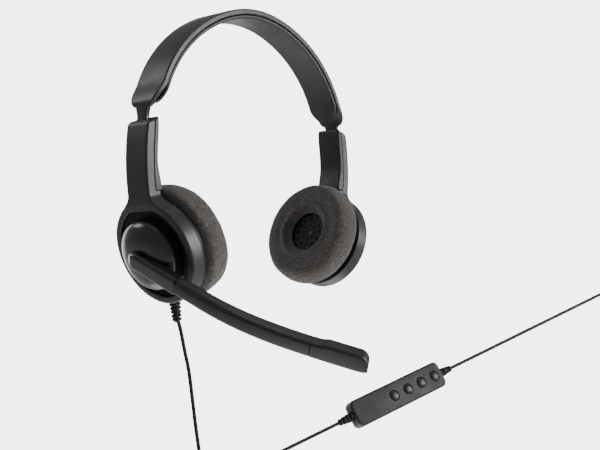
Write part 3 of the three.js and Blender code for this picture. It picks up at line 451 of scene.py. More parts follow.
# %% [markdown]
# Some pieces need a hole or a slot. A boolean modifier cuts it, and its result is kept as the mesh.
# An arm and its ring are one moulding: the two closed bodies are joined and wrapped in a fine skin
# of small squares, which also gives the inside corners the small radius that a mould leaves there.

# %% Cutting and wrapping
def keep_modified(piece, smooth_angle=35):
    """Replaces a piece's mesh by what its modifiers make of it."""
    made = bpy.data.meshes.new_from_object(piece.evaluated_get(bpy.context.evaluated_depsgraph_get()))
    piece.modifiers.clear()
    piece.data = made
    smooth(made, smooth_angle)
    return piece


def cut(piece, *tools):
    """Takes the tools' bodies out of a piece, and removes the tools."""
    for tool in tools:
        step = piece.modifiers.new("cut", "BOOLEAN")
        step.operation, step.solver, step.object = "DIFFERENCE", "EXACT", tool
    bpy.context.view_layer.update()
    keep_modified(piece)
    for tool in tools:
        bpy.data.objects.remove(tool)
    return piece


def joined(name, pieces):
    """One object that holds the meshes of several closed pieces."""
    work = bmesh.new()
    for piece in pieces:
        work.from_mesh(piece.data)
        bpy.data.objects.remove(piece)
    mesh = bpy.data.meshes.new(name)
    work.to_mesh(mesh)
    work.free()
    return linked(name, mesh)


def wrapped(piece, voxel, rounds=4):
    """A skin of squares of that size in mm over a piece, then evened out a few times."""
    skin = piece.modifiers.new("skin", "REMESH")
    skin.mode, skin.voxel_size, skin.use_smooth_shade = "VOXEL", voxel * MM, True
    even = piece.modifiers.new("even", "SMOOTH")
    even.factor, even.iterations = 0.5, rounds
    return keep_modified(piece, 60)


def block(name, size, centre, matrix):
    """A plain box as a cutting tool, in mm, placed by a matrix."""
    corners = np.array([[x, y, z] for x in (-0.5, 0.5) for y in (-0.5, 0.5) for z in (-0.5, 0.5)])
    faces = [(0, 1, 3, 2), (4, 6, 7, 5), (0, 4, 5, 1), (2, 3, 7, 6), (0, 2, 6, 4), (1, 5, 7, 3)]
    return add_mesh(name, moved(corners * size + centre, matrix), faces)


# %% [markdown]
# An arm's outer face is an arc that runs into the tilted plane of its ring, and its edges flare in
# concave curves until they meet the ring's circle. Where the arm would enter the ring's opening,
# its foot is held back on the middle of the ring's wall, and a round tool clears the opening.

# %% Arms and rings
SLOT_CLEARANCE = 0.35
COVER_OVER_RING = 5.42
COVER_FOOT = (RING_RADIUS + COVER_OVER_RING) * math.cos(CUP_TILT)
ARM_EDGE, TOP_ROUND = 1.1, 2.0
OPENING = {"mic": (24.0, 1.6), "plain": (25.3, 0.0)}
ARM = {side: SIDE_TURN[side] @ Matrix.Translation(Vector(SLIDE_ALONG) * EXTENSION[side])
       for side in SIDE_TURN}


def arm_frame(height):
    """Places on the arm's outer face at heights over the cup's centre, and the direction outwards."""
    arc = np.arcsin((height - ARM_PEAK) / ARM_CURVE)
    top, foot = ease((height - ARM_LENGTH + 9) / 9), ease((RING_RADIUS + 2 - height) / 8)
    lean = arc + (-0.35 - arc) * top
    lean = lean + (-CUP_TILT - lean) * foot
    x = np.where(height < MEETING, CUP_CENTRE[0] + height * math.tan(CUP_TILT),
                 PEAK_X - ARM_CURVE + ARM_CURVE * np.cos(arc))
    at = np.stack([x, 0 * height, CUP_CENTRE[2] + height], axis=-1)
    return at, np.stack([np.cos(lean), 0 * height, np.sin(lean)], axis=-1)


def flare_width(height):
    """The arm's width: constant, then growing with the square of the way into the ring."""
    low, high = RING_RADIUS - 4, RING_RADIUS + 4
    chord = math.sqrt(RING_RADIUS**2 - low**2)
    t = np.maximum(0, (high - height / math.cos(CUP_TILT)) / (high - low))
    return ARM_WIDTH + 2 * (chord - ARM_WIDTH / 2) * t**2


def arm_bar(side, name, heights, inset, start, thickness, outer, inner):
    """The arm between heights, from a depth down by a thickness, drawn in by the inset."""
    at, out = arm_frame(heights)
    at = at - (start + inset)[:, None] * out
    across, depth = bar_outline(flare_width(heights) - 2 * inset, thickness - 2 * inset,
                                outer, inner, 8)
    points = moved(carried(at, Y_AXIS, out, across, depth), cup_turn.inverted())
    wall = np.sqrt(np.maximum(0, (RING_RADIUS - RING_WALL / 2) ** 2 - points[..., 1] ** 2))
    points[..., 2] = np.maximum(points[..., 2], wall)
    return ring_surface(name, moved(points, CUP[side]))


def slot_tool(side):
    """The space for the sliding tongue, as a block along the slide."""
    basis = Matrix((Vector(SLIDE_OUT), Vector(Y_AXIS), Vector(-SLIDE_ALONG))).transposed().to_4x4()
    place = ARM[side] @ Matrix.Translation(Vector(TONGUE_START)) @ basis
    size = (TONGUE_THICKNESS + 2 * SLOT_CLEARANCE, TONGUE_WIDTH + 2 * SLOT_CLEARANCE,
            TONGUE_LENGTH + 7.5)
    return block("slot", size, (-TONGUE_THICKNESS / 2, 0, 6 - size[2] / 2), place)


def mouth_tool(side):
    """A wider space at the top of the arm, where the neck of the band sinks in when it is closed."""
    top = ARM[side] @ Matrix.Translation(Vector(ARM_TOP)) @ Matrix.Rotation(-SLIDE_TILT, 4, "Y")
    return block("mouth", (TONGUE_THICKNESS + 2 * SLOT_CLEARANCE, 11.0, 15),
                 (TONGUE_START[0] - TONGUE_THICKNESS / 2 - ARM_TOP[0], 0, 1.8), top)


def top_rounding(steps=7):
    """Heights and insets of a quarter circle that rounds the top of the arm."""
    angle = np.linspace(np.pi / 2, 0, steps)
    return ARM_LENGTH + 0.7 - TOP_ROUND * (1 - np.sin(angle)), TOP_ROUND * (1 - np.cos(angle))


def ring_profile(hub, inner):
    """The ring's section: a lip, a recessed web with or without a hub hole, and a skirt."""
    floor = -RECESS - WEB
    lip = fillet(RING_RADIUS - 1.3, -1.3, 1.3, 0)
    mouth = fillet(inner + 0.4, -0.4, 0.4, 1, 4)
    return [(hub, -RECESS), (hub, floor), (inner, floor), (inner, -RING_DEPTH),
            (RING_RADIUS - 0.4, -RING_DEPTH), (RING_RADIUS, -RING_DEPTH + 0.4), *lip, *mouth,
            (inner, -RECESS), (hub, -RECESS)][: None if hub == 0 else -1]


def arm_and_ring(side, hub):
    """The arm's outer shell down to its ring, as one moulding."""
    round_heights, insets = top_rounding()
    above = np.linspace(ARM_LENGTH - 2, COVER_FOOT - GAP + 0.01, 46)
    below = np.linspace(COVER_FOOT - GAP, (RING_RADIUS - 5.5) * math.cos(CUP_TILT), 26)
    heights = np.concatenate([round_heights, above, below])
    inset = np.concatenate([insets, 0 * above, 0 * below])
    thickness = np.where(heights > COVER_FOOT - GAP, ARM_SPLIT, ARM_THICKNESS)
    arm = arm_bar(side, "arm", heights, inset, 0 * heights, thickness, ARM_EDGE - inset, 0.35)
    inner, low = OPENING[side]
    opening = turned_piece("opening", [(0, -20), (inner - 0.2, -20), (inner - 0.2, 12), (0, 12)], side)
    opening.data.transform(Matrix.Translation(CUP[side].to_3x3() @ Vector((0, 0, -low)) * MM))
    cut(arm, slot_tool(side), mouth_tool(side), opening)
    ring = turned_piece("ring", ring_profile(hub, inner), side)
    posts = [turned_piece("post", [(0, -RING_DEPTH + 0.3), (2.4, -RING_DEPTH + 0.3),
                                   (2.4, -RECESS - 0.5), (0, -RECESS - 0.5)], side, 24) for _ in range(2)]
    for post, way in zip(posts, (-14, 14)):
        post.data.transform(Matrix.Translation(CUP[side].to_3x3() @ Vector((0, way, 0)) * MM))
    for piece in (ring, *posts):
        piece.data.transform(in_metres(LEAN_OF_RING[side]))
    return wrapped(joined(f"{side}_side_arm_and_ring", [arm, ring, *posts]), 0.36)


def arm_cover(side):
    """The inner half of the arm, with a rounded back edge and the slot's other side."""
    round_heights, insets = top_rounding()
    heights = np.concatenate([round_heights, np.linspace(ARM_LENGTH - 2, COVER_FOOT, 46)])
    inset = 0.6 * np.concatenate([insets, np.zeros(46)])
    thickness = ARM_THICKNESS - ARM_SPLIT - 0.12 + 1.8 * ease((48 - heights) / 17)
    cover = arm_bar(side, f"{side}_side_arm_inner_cover", heights, inset, ARM_SPLIT + 0.12 + 0 * heights,
                    thickness, 0.25, 1.2 - 0.5 * inset)
    return cut(cover, slot_tool(side), mouth_tool(side))


def paint_recess_shade(arm, side):
    """Marks the faces inside the ring's opening, so that they get a near-black colour: painted shade in the
    recess.
    """
    place = np.array(CUP[side].inverted())
    middles = np.zeros(3 * len(arm.data.polygons))
    arm.data.polygons.foreach_get("center", middles)
    local = (middles.reshape(-1, 3) / MM) @ place[:3, :3].T + place[:3, 3]
    inside = (np.hypot(local[:, 1], local[:, 2]) < OPENING[side][0] + 0.3) & (local[:, 0] < -0.9)
    arm.data.materials.append(None)
    arm.data.materials.append(None)
    arm.data.polygons.foreach_set("material_index", inside.astype(np.int32))


arms = {side: arm_and_ring(side, hub) for side, hub in (("mic", 3.3), ("plain", 0))}
for side, arm in arms.items():
    # Painted shade: the faces inside each ring's opening are marked for a near-black colour.
    paint_recess_shade(arm, side)
covers = {side: arm_cover(side) for side in arms}
print("arm faces:", {side: len(arm.data.polygons) for side, arm in arms.items()})

# %% [markdown]
# The plain cup is closed by a shallow round cap. Between a ring and its foam stands the edge of a
# round plate with a drum behind it, and the drum ends in a perforated grille: one hole in the
# middle and three rings of smaller ones round it.

# %% Cap, plates and grilles
PLATE_BACK = -RING_DEPTH - GAP
PLATE_FRONT = PLATE_BACK - 1.5
DRUM_RADIUS, DRUM_END = 20, PLATE_FRONT - 8.5
CAP_RADIUS = RING_RADIUS - RING_WALL - GAP
GRILLE_RINGS = [(1, 0, 1.5), (8, 4.4, 0.8), (12, 8.2, 1.1), (16, 11.3, 0.8)]


def cap_profile():
    """A disc with a soft edge and a face that rises 2.4 mm to the middle along an ellipse."""
    sweep = np.linspace(0, np.pi / 2, 30)
    dome = np.column_stack([(CAP_RADIUS - 1) * np.cos(sweep), 0.2 + 2.4 * np.sin(sweep)])
    dome[-1, 0] = 0
    return [(0, -RECESS + GAP), (CAP_RADIUS, -RECESS + GAP), (CAP_RADIUS, -0.5),
            *fillet(CAP_RADIUS - 0.7, -0.5, 0.7, 0, 4), *dome[1:].tolist()]


def plate_profile():
    """A flanged plate and its drum, with a small bevel on the plate's rim."""
    flange, inner = RING_RADIUS - 1.6, DRUM_RADIUS - 1.6
    return [(0, PLATE_FRONT), (inner, PLATE_FRONT), (inner, DRUM_END), (DRUM_RADIUS, DRUM_END),
            (DRUM_RADIUS, PLATE_FRONT), (flange - 0.3, PLATE_FRONT), (flange, PLATE_FRONT + 0.3),
            (flange, PLATE_BACK - 0.3), (flange - 0.3, PLATE_BACK), (0, PLATE_BACK)]


def grille(side):
    """A dished disc with holes cut through it: rings of (count, distance, radius)."""
    back = DRUM_END - GAP
    front = back - 1.5
    disc = turned_piece(f"{side}_side_grille", [
        (0, front + 0.9), (4, front + 0.88), (8, front + 0.7), (12, front + 0.2), (14, front), (18.6, front),
        *fillet(19.3, front + 0.6, 0.6, -1, 4), (19.9, back), (0, back)], side, 96)
    holes = []
    for count, distance, radius in GRILLE_RINGS:
        for angle in np.arange(count) * 2 * np.pi / count:
            hole = turned([(0, front - 2), (radius, front - 2), (radius, back + 1), (0, back + 1)], 20)
            hole += [0, distance * math.cos(angle), distance * math.sin(angle)]
            holes.append(ring_surface("hole", moved(hole, CUP[side])))
    return cut(disc, joined("holes", holes))


outer_cap = turned_piece("plain_side_cap", cap_profile(), "plain")
outer_cap.data.transform(in_metres(LEAN_OF_RING["plain"]))
plates = {side: turned_piece(f"{side}_side_plate_and_drum", plate_profile(), side) for side in CUP}
grilles = {side: grille(side) for side in CUP}
for side, lean in LEAN_OF_CAPSULE.items():
    plates[side].data.transform(in_metres(lean))
    grilles[side].data.transform(in_metres(lean))
print("holes in each grille:", sum(count for count, _, _ in GRILLE_RINGS))

# %% [markdown]
# The ear cushions are soft open foam pulled over the rim of the plate. A foam disc isn't flat: it
# is crowned, dips towards the hole, has a slightly raised rim round the hole, and its surface is
# uneven where it was cut and stretched. The profile gives the large shape, a sum of slow waves
# gives the unevenness, and a fine displacement gives the open cells a real relief.

# %% Ear cushions
CUSHION_BACK = PLATE_FRONT - GAP


def soft_profile(steps=150):
    """Points evenly spaced on a smooth closed line through the cushion's main section points."""
    through = [(20.6, CUSHION_BACK - 0.1), (25, CUSHION_BACK - 0.05), (28.2, CUSHION_BACK - 0.5),
               (29.9, CUSHION_BACK - 2), (30.4, -15.5), (30.4, -18), (30.05, -20.8), (29.15, -23.1),
               (27.6, -24.9), (25.4, -25.7), (22.5, -25.75), (19.4, -25.4), (17.6, -25.6),
               (16.4, -26), (15.5, -25.8), (14.7, -24.6), (13.4, -23.2), (11.7, -22.1), (11.9, -21.6),
               (14.5, -21.6), (17.5, -21.6), (20.1, -21.55), (20.5, -21.2), (20.5, -16)]
    loop = np.array(through + through[:3], float)
    line = rounded_line(np.column_stack([loop, 0 * loop[:, 0]]), 8)[8:-16, :2]
    line = np.vstack([line, line[:1]])
    walked = np.concatenate([[0], np.cumsum(np.linalg.norm(np.diff(line, axis=0), axis=1))])
    even = np.linspace(0, walked[-1], steps, endpoint=False)
    return np.column_stack([np.interp(even, walked, line[:, k]) for k in (0, 1)])


def slow_waves(points, seed, waves=14, shortest=9):
    """A smooth uneven field: a sum of sine waves in random directions, between about -1 and 1."""
    draw = np.random.default_rng(seed)
    ways = draw.normal(size=(waves, 3))
    ways /= np.linalg.norm(ways, axis=1, keepdims=True)
    lengths = shortest * (1 + 2 * draw.random(waves))
    phase = 2 * np.pi * draw.random(waves)
    return np.sin(points @ (ways * (2 * np.pi / lengths)[:, None]).T + phase).mean(axis=-1) * 2


def ear_cushion(side, seed):
    """The cushion's section turned round, pushed in and out along its own normals by slow waves."""
    points = turned(soft_profile(), 300)
    around = np.roll(points, -1, 1) - np.roll(points, 1, 1)
    along = np.roll(points, -1, 0) - np.roll(points, 1, 0)
    normal = np.cross(around, along)
    normal /= np.linalg.norm(normal, axis=-1, keepdims=True)
    middle = np.array([-18, 0, 0])
    outward = np.sign((normal[60] * (points[60] - middle)).sum())
    free = ease((CUSHION_BACK - 0.8 - points[..., 0]) / 3)
    swell = 0.22 * slow_waves(points, seed) + 0.1 * slow_waves(points, seed + 1, 20, 3.5)
    points = points + outward * normal * (swell * free)[..., None]
    piece = ring_surface(f"{side}_side_foam_cushion", moved(points, CUP[side]), True, 80)
    cells = bpy.data.textures.new(f"{side}_foam_cells", "VORONOI")
    cells.noise_scale = 0.0011
    cells.distance_metric = "DISTANCE"
    relief = piece.modifiers.new("cells", "DISPLACE")
    relief.texture, relief.texture_coords = cells, "LOCAL"
    relief.strength, relief.mid_level = 0.00028, 0.5
    piece.data.transform(in_metres(LEAN_OF_CAPSULE[side]))
    return keep_modified(piece, 80)


cushions = {side: ear_cushion(side, seed) for side, seed in (("mic", 5), ("plain", 11))}
print("cushion faces:", len(cushions["mic"].data.polygons))

# %% [markdown]
# The microphone's boom turns on a glossy dome. The dome has a flat-topped notch in front, where
# the root of the boom leaves it, and the root is a separate bar with a rounded end. After the root
# come the softer-looking tube, which bends towards the mouth, and the pod with the microphone.

# %% Boom line
TURRET_RADIUS, TURRET_RISE = 20, 9.5
BOOM_HEIGHT, BOOM_DROOP, BOOM_BEND = 10.7, math.radians(26.9), math.radians(28.3)
BOOM_STRAIGHT, BOOM_LENGTH, ROOT_LENGTH, POD_LENGTH = 44.7, 129.4, 28, 25.4
BOOM_WIDTH, BOOM_THICKNESS, POD_BULGE = 9.2, 7.4, 1.2
BOOM_WAY = np.array([0, math.cos(BOOM_DROOP), -math.sin(BOOM_DROOP)])
BOOM_SIDE = np.array([0, math.sin(BOOM_DROOP), math.cos(BOOM_DROOP)])
BOOM_CURVE = (BOOM_LENGTH - BOOM_STRAIGHT) / BOOM_BEND


def boom_bar(name, distance, width, thickness, rounding, lift=0.0, steps=6):
    """A rounded bar on the boom's line, which is straight and then a circle towards the mouth."""
    bend = np.maximum(0, distance - BOOM_STRAIGHT) / BOOM_CURVE
    forward = np.minimum(distance, BOOM_STRAIGHT) + BOOM_CURVE * np.sin(bend)
    out = np.sin(bend)[:, None] * BOOM_WAY
    out[:, 0] += np.cos(bend)
    at = forward[:, None] * BOOM_WAY + (lift + 0 * distance)[:, None] * BOOM_SIDE
    at[:, 0] += BOOM_HEIGHT - BOOM_CURVE * (1 - np.cos(bend))
    across, depth = bar_outline(width, thickness, rounding, rounding, steps)
    points = carried(at, BOOM_SIDE, out, across, depth + (thickness / 2 + 0 * distance)[:, None])
    return ring_surface(name, moved(points, CUP["mic"]))


def root_bar(name, extra=0.0):
    """The root: a bar that grows towards the tube and ends in a quarter ellipse over the dome."""
    turn = np.linspace(1.5, 0, 12)
    distance = np.concatenate([-0.4 - (5.8 + extra) * np.sin(turn),
                               np.linspace(0.2, ROOT_LENGTH + extra, 24)])
    tip = np.concatenate([np.cos(turn), np.ones(24)])
    t = np.maximum(0, distance) / ROOT_LENGTH
    width = (9.0 + (BOOM_WIDTH - 9.0) * t + 2 * extra) * tip
    thickness = (6.4 + (BOOM_THICKNESS - 6.4) * t + 2 * extra) * tip
    rounding = np.minimum(1.9, 0.45 * np.minimum(width, thickness))
    return boom_bar(name, distance, width, thickness, rounding)


# %% Turret and root
SPINDLE_RADIUS = 3
seat, clip_top = -RECESS + GAP, -RECESS - WEB - GAP - 0.8
sweep = np.linspace(0, np.pi / 2, 60)
DOME_RADIUS, DOME_FOOT = 18.7, 1.9
dome = np.column_stack([DOME_RADIUS * np.cos(sweep) ** 0.8,
                        DOME_FOOT + (TURRET_RISE - DOME_FOOT) * np.sin(sweep) ** 0.85])
dome[-1, 0] = 0
turret = turned_piece("boom_turret_dome", [
    (0, clip_top - 2), (SPINDLE_RADIUS - 0.4, clip_top - 2), (SPINDLE_RADIUS - 0.4, clip_top - 1.2),
    (SPINDLE_RADIUS - 0.8, clip_top - 1.2), (SPINDLE_RADIUS - 0.8, clip_top), (SPINDLE_RADIUS, clip_top),
    (SPINDLE_RADIUS, seat), (TURRET_RADIUS - 0.9, seat), (DOME_RADIUS + 0.1, DOME_FOOT - 0.6),
    *dome.tolist()], "mic", 160)
notch = block("notch", (12, 15, 5.5), (7.5, 7.5, -6.75), CUP["mic"])
cut(turret, notch, root_bar("root_space", GAP))
root = root_bar("boom_root_bar")
print("turret faces:", len(turret.data.polygons))

# %% Tube and pod
TIP_ROUND, BOOM_SAG, POD_EXTRA = 4.6, 0.6, 2.2
tube_distance = np.linspace(ROOT_LENGTH + 0.12, BOOM_LENGTH - POD_LENGTH - 0.06, 70)
tube_way = ease((tube_distance - ROOT_LENGTH) / 60)
from_ends = np.minimum(tube_distance - tube_distance[0], tube_distance[-1] - tube_distance)
tube_end = np.minimum(1, from_ends / 0.5)
tube = boom_bar("boom_tube_skin", tube_distance, BOOM_WIDTH - 1.1 * tube_way - 0.15 * (1 - tube_end),
                BOOM_THICKNESS - 0.15 * (1 - tube_end), 3.1 - 1.5 * tube_way,
                BOOM_SAG * ease((tube_distance - 50) / 50))


def pod_parts():
    """Stations of the pod: the upper edge rises a little behind the seam, and at the tip it rounds
    down in a quarter circle to a sharper lower corner. Towards the tip the pod dips slightly."""
    start = BOOM_LENGTH - POD_LENGTH
    turn = np.linspace(0, 1.42, 16)
    end = BOOM_LENGTH + POD_EXTRA - TIP_ROUND
    distance = np.concatenate([[start, start + 0.4], np.linspace(start + 1, end, 36)[:-1],
                               end + TIP_ROUND * np.sin(turn)])
    lift = POD_BULGE * ease((distance - start - 3.5) / 5)
    fall = np.concatenate([np.zeros(37), TIP_ROUND * (1 - np.cos(turn))])
    thin = np.concatenate([[0.3], np.zeros(36), 0.9 * (1 - np.cos(turn))])
    width = BOOM_WIDTH - 1.0 + lift - fall - thin
    thickness = BOOM_THICKNESS - 2 * thin
    rounding = np.minimum(1.5, 0.45 * np.minimum(width, thickness))
    sag = BOOM_SAG - 1.5 * ((distance - start) / POD_LENGTH) ** 1.5
    return distance, width, thickness, rounding, (lift - fall) / 2 + sag


pod_distance, pod_width, pod_thickness, pod_rounding, pod_lift = pod_parts()
pod = boom_bar("mic_pod_body", pod_distance, pod_width, pod_thickness, pod_rounding, pod_lift)

# %% [markdown]
# The controller is two shells with a fine seam, four domed buttons and a ribbed sleeve at each
# end. Its outline is a rounded rectangle, drawn in along a quarter circle at the top and bottom
# edges. Controller and plug share one direction, the pull of the cord, and one turn about it. The
# frame's own controller, and so the buttons' joints, are turned 10 degrees further than this one.

# %% Frames on the taut line
CONTROLLER_LENGTH, CONTROLLER_WIDTH, CONTROLLER_HEIGHT, CONTROLLER_ROUND = 68, 16, 8.5, 3.4
FACE_TILT = math.radians(24)


def line_frame(origin):
    """A frame in mm with its first axis along the pull and its third out of the buttons' face."""
    pull = Vector(PULL)
    level = pull.cross(Vector((0, 0, 1))).normalized()
    face = level * math.cos(FACE_TILT) + level.cross(pull) * math.sin(FACE_TILT)
    basis = Matrix((pull, face.cross(pull), face)).transposed().to_4x4()
    return Matrix.Translation(Vector(origin) / MM) @ basis


CONTROLLER, PLUG = line_frame(CONTROLLER_CENTRE), line_frame(PLUG_START)


def plate_body(name, length, width, round_corner, levels, insets, matrix, middle=0.0):
    """Rounded rectangles stacked at levels and drawn in by insets, as one closed body."""
    levels, insets = np.array(levels, float), np.array(insets, float)
    along, over = bar_outline(length - 2 * insets, width - 2 * insets, round_corner - insets,
                              round_corner - insets, 8)
    over = over + (width / 2 - insets)[:, None]
    points = np.stack([along + middle, over, np.broadcast_to(levels[:, None], along.shape)], axis=-1)
    return ring_surface(name, moved(points, matrix))


def edge_round(radius, steps=6):
    """Insets and drops of a quarter circle that rounds the edge of a plate."""
    angle = np.linspace(0, np.pi / 2, steps)
    return radius * (1 - np.cos(angle)), radius * (np.sin(angle) - 1)


# %% Controller
BUTTON_RADIUS, BUTTON_PROUD, BUTTON_PRESS, BUTTON_PITCH, FIRST_BUTTON = 3.2, 0.8, 0.6, 10.6, -4.2
BUTTON_PLACES = [FIRST_BUTTON + BUTTON_PITCH * i for i in range(4)]
half_height = CONTROLLER_HEIGHT / 2
inset, drop = edge_round(1.3)
seam = [GAP / 2, GAP / 2 + 0.25]
top_shell = plate_body("controller_upper", CONTROLLER_LENGTH, CONTROLLER_WIDTH, CONTROLLER_ROUND,
                       [*seam, *(half_height + drop)], [0.2, 0, *inset], CONTROLLER)
bottom_shell = plate_body("controller_lower", CONTROLLER_LENGTH, CONTROLLER_WIDTH, CONTROLLER_ROUND,
                          [-seam[0], -seam[1], *(-half_height - drop)], [0.2, 0, *inset], CONTROLLER)


def upright(profile, x, matrix, segments=40):
    """A profile of (radius, height) pairs turned about the third axis of a frame, at a place x."""
    points = turned(profile, segments)[..., [2, 1, 0]] + [x, 0, 0]
    return moved(points, matrix)


def button(number, x):
    """A cap with a domed top on a wider foot that keeps it in its round well."""
    sweep = np.linspace(0, np.pi / 2, 14)
    crown = np.column_stack([(BUTTON_RADIUS - 0.1) * np.cos(sweep),
                             half_height - 0.3 + (BUTTON_PROUD + 0.3) * np.sin(sweep)])
    crown[-1, 0] = 0
    floor = half_height - 1.3 - GAP
    return ring_surface(f"button_{number}_cap", upright([
        (0, floor - 0.6), (BUTTON_RADIUS + 0.9, floor - 0.6), (BUTTON_RADIUS + 0.9, floor),
        (BUTTON_RADIUS, floor), *crown.tolist()], x, CONTROLLER))


well_depth = half_height - 2.4 - BUTTON_PRESS
wells = joined("wells", [ring_surface("well", upright([
    (0, well_depth), (BUTTON_RADIUS + 1.2, well_depth), (BUTTON_RADIUS + 1.2, half_height - 1.3),
    (BUTTON_RADIUS + 0.16, half_height - 1.3), (BUTTON_RADIUS + 0.16, half_height + 0.5),
    (0, half_height + 0.5)], x, CONTROLLER))
    for x in BUTTON_PLACES])
cut(top_shell, wells)
buttons = [button(i + 1, x) for i, x in enumerate(BUTTON_PLACES)]
print("buttons at mm:", BUTTON_PLACES)

# %% [markdown]
# A strain relief keeps a cord from kinking where it leaves a housing. It is a row of rings on a
# tapering core, with soft edges. Small webs join each ring to the next on alternating sides, so
# that the sleeve can bend every way.

# %% Strain reliefs
RELIEF_LENGTH = 10
relief_place = (CUP["mic"] @ Matrix.Translation(Vector((-RING_DEPTH / 2, 0, -RING_RADIUS - 1)))
                @ Matrix.Rotation(math.pi / 2 + math.radians(-11), 4, "Y"))


def ribbed_relief(name, matrix, first, last, rings, neck):
    """Rings of falling radius with rounded edges on a core 1 mm smaller, along the first axis."""
    pitch = RELIEF_LENGTH / rings
    profile = [(0, -neck), (1.9, -neck), (1.9, 0)] if neck else [(0, 0)]
    webs = []
    for i, radius in enumerate(np.linspace(first, last, rings)):
        start, end, soft = i * pitch, (i + 0.62) * pitch, 0.28
        profile += [(radius - 1, start), *fillet(radius - soft, start + soft, soft, -1, 4)]
        profile += [*fillet(radius - soft, end - soft, soft, 0, 4), (radius - 1, end)]
        profile.append((radius - 1, start + pitch))
        if i + 1 < rings:
            way = 1 if i % 2 else -1
            place = (start + 0.81 * pitch, 0, way * (radius - 1.1))
            webs.append(block("web", (0.6 * pitch, 1.6, 1.2), place, matrix))
    profile.append((0, RELIEF_LENGTH))
    body = ring_surface(name, moved(turned(profile, 40), matrix))
    return joined_smooth(name, [body, *webs])


def joined_smooth(name, pieces):
    """Several closed pieces as one object, with smooth shading and the first piece's name."""
    whole = joined("whole", pieces)
    whole.name = whole.data.name = name
    smooth(whole.data, 35)
    return whole


end_shift = CONTROLLER_LENGTH / 2 + GAP
cup_relief = ribbed_relief("cup_relief_sleeve", relief_place, 3.1, 2.5, 5, 3.7)
headset_end = ribbed_relief("controller_sleeve_headset_end", CONTROLLER @ Matrix.Rotation(math.pi, 4, "Z")
                            @ Matrix.Translation((end_shift, 0, 0)), 2.9, 2.0, 4, 2.3)
plug_end = ribbed_relief("controller_sleeve_plug_end", CONTROLLER @ Matrix.Translation((end_shift, 0, 0)),
                         2.9, 2.0, 4, 2.3)
plug_relief = ribbed_relief("plug_sleeve", PLUG, 2.2, 3.1, 4, 0)
print("sleeves:", [p.name for p in (cup_relief, headset_end, plug_end, plug_relief)])

# %% Plug
PLUG_LENGTH, PORT_WIDTH, PORT_HEIGHT, PORT_LENGTH = 24, 12, 4.5, 12
body_middle = RELIEF_LENGTH + GAP + PLUG_LENGTH / 2
shell_start = RELIEF_LENGTH + GAP + PLUG_LENGTH - 3
shell_middle = shell_start + (PORT_LENGTH + 3) / 2
inset, drop = edge_round(1.2)
half = (PORT_HEIGHT + 3.5) / 2
plug_body = plate_body("plug_grip", PLUG_LENGTH, PORT_WIDTH + 3.5, 2.4,
                       [*(-half - drop[::-1]), *(half + drop)], [*inset[::-1], *inset], PLUG, body_middle)
socket = block("socket", (6 + GAP, PORT_WIDTH + 2 * GAP, PORT_HEIGHT + 2 * GAP),
               (body_middle + PLUG_LENGTH / 2, 0, 0), PLUG)
cut(plug_body, socket)
plug_tube = plate_body("plug_shell", PORT_LENGTH + 3, PORT_WIDTH, 0.3, [-2.25, -2.05, 2.05, 2.25],
                       [0.2, 0, 0, 0.2], PLUG, shell_middle + GAP)
inside = block("inside", (PORT_LENGTH + 8, PORT_WIDTH - 1, PORT_HEIGHT - 1), (shell_middle, 0, 0), PLUG)
windows = [block("window", (2.2, 2.2, 2), (shell_start + 9.5, way * 2.8, side * PORT_HEIGHT / 2), PLUG)
           for way in (-1, 1) for side in (-1, 1)]
cut(plug_tube, inside, *windows)
print("windows in the plug's shell:", len(windows))

# %% Tie round the hank
hank_frame = Matrix.Translation(Vector(HANK_CENTRE) / MM) @ Matrix(
    (Vector(HANK_ACROSS), Vector(HANK_THROUGH), Vector((0, 0, 1)))).transposed().to_4x4()
TIE_WIDTH, TIE_THICKNESS = 4, 1.1
tie_size = (14 + 1.0, 8.8 + 1.0)


def tie_band():
    """A soft strap: two rounded rectangles, one inside the other, joined at both edges."""
    layers = [(0, -0.5), (0.25, -0.85), (TIE_THICKNESS - 0.3, -0.85), (TIE_THICKNESS, -0.6),
              (TIE_THICKNESS, 0.6), (TIE_THICKNESS - 0.3, 0.85), (0.25, 0.85), (0, 0.5)]
    grow = np.array([g for g, _ in layers])
    level = np.array([z for _, z in layers]) * TIE_WIDTH / 1.7
    across, depth = bar_outline(tie_size[0] + 2 * grow, tie_size[1] + 2 * grow, 3.5 + grow, 3.5 + grow, 8)
    depth = depth + (tie_size[1] / 2 + grow)[:, None]
    points = np.stack([across, depth, np.broadcast_to(level[:, None], across.shape)], axis=-1)
    return ring_surface("hank_tie", moved(points, hank_frame), True)


tie = tie_band()
print("tie mm:", [round(x, 1) for x in tie_size])

# %% [markdown]
# Finishes. Moulded plastic isn't one flat colour: the mould's fine texture breaks up the gloss,
# handling makes it a little smoother along edges, and dust gathers in small paler specks. Each of
# these effects is a node group, built once and placed in every material with its own values.

# %% Node helpers
def new_group(name, inputs, outputs):
    """An empty shader node group with float inputs and named outputs, and its two end nodes."""
    tree = bpy.data.node_groups.new(name, "ShaderNodeTree")
    for title, value in inputs:
        socket = tree.interface.new_socket(title, in_out="INPUT", socket_type="NodeSocketFloat")
        socket.default_value = value
    for title, kind in outputs:
        tree.interface.new_socket(title, in_out="OUTPUT", socket_type=kind)
    return tree, tree.nodes.new("NodeGroupInput"), tree.nodes.new("NodeGroupOutput")


def node(tree, kind, links=(), **settings):
    """A node with its settings, and its inputs linked to sockets or set to values."""
    made = tree.nodes.new(kind)
    for key, value in settings.items():
        setattr(made, key, value)
    for key, value in dict(links).items():
        if isinstance(value, bpy.types.NodeSocket):
            tree.links.new(value, made.inputs[key])
        else:
            made.inputs[key].default_value = value
    return made


def maths(tree, operation, a, b=0.5, clamp=False):
    """The result of one sum."""
    return node(tree, "ShaderNodeMath", {0: a, 1: b}, operation=operation, use_clamp=clamp).outputs[0]


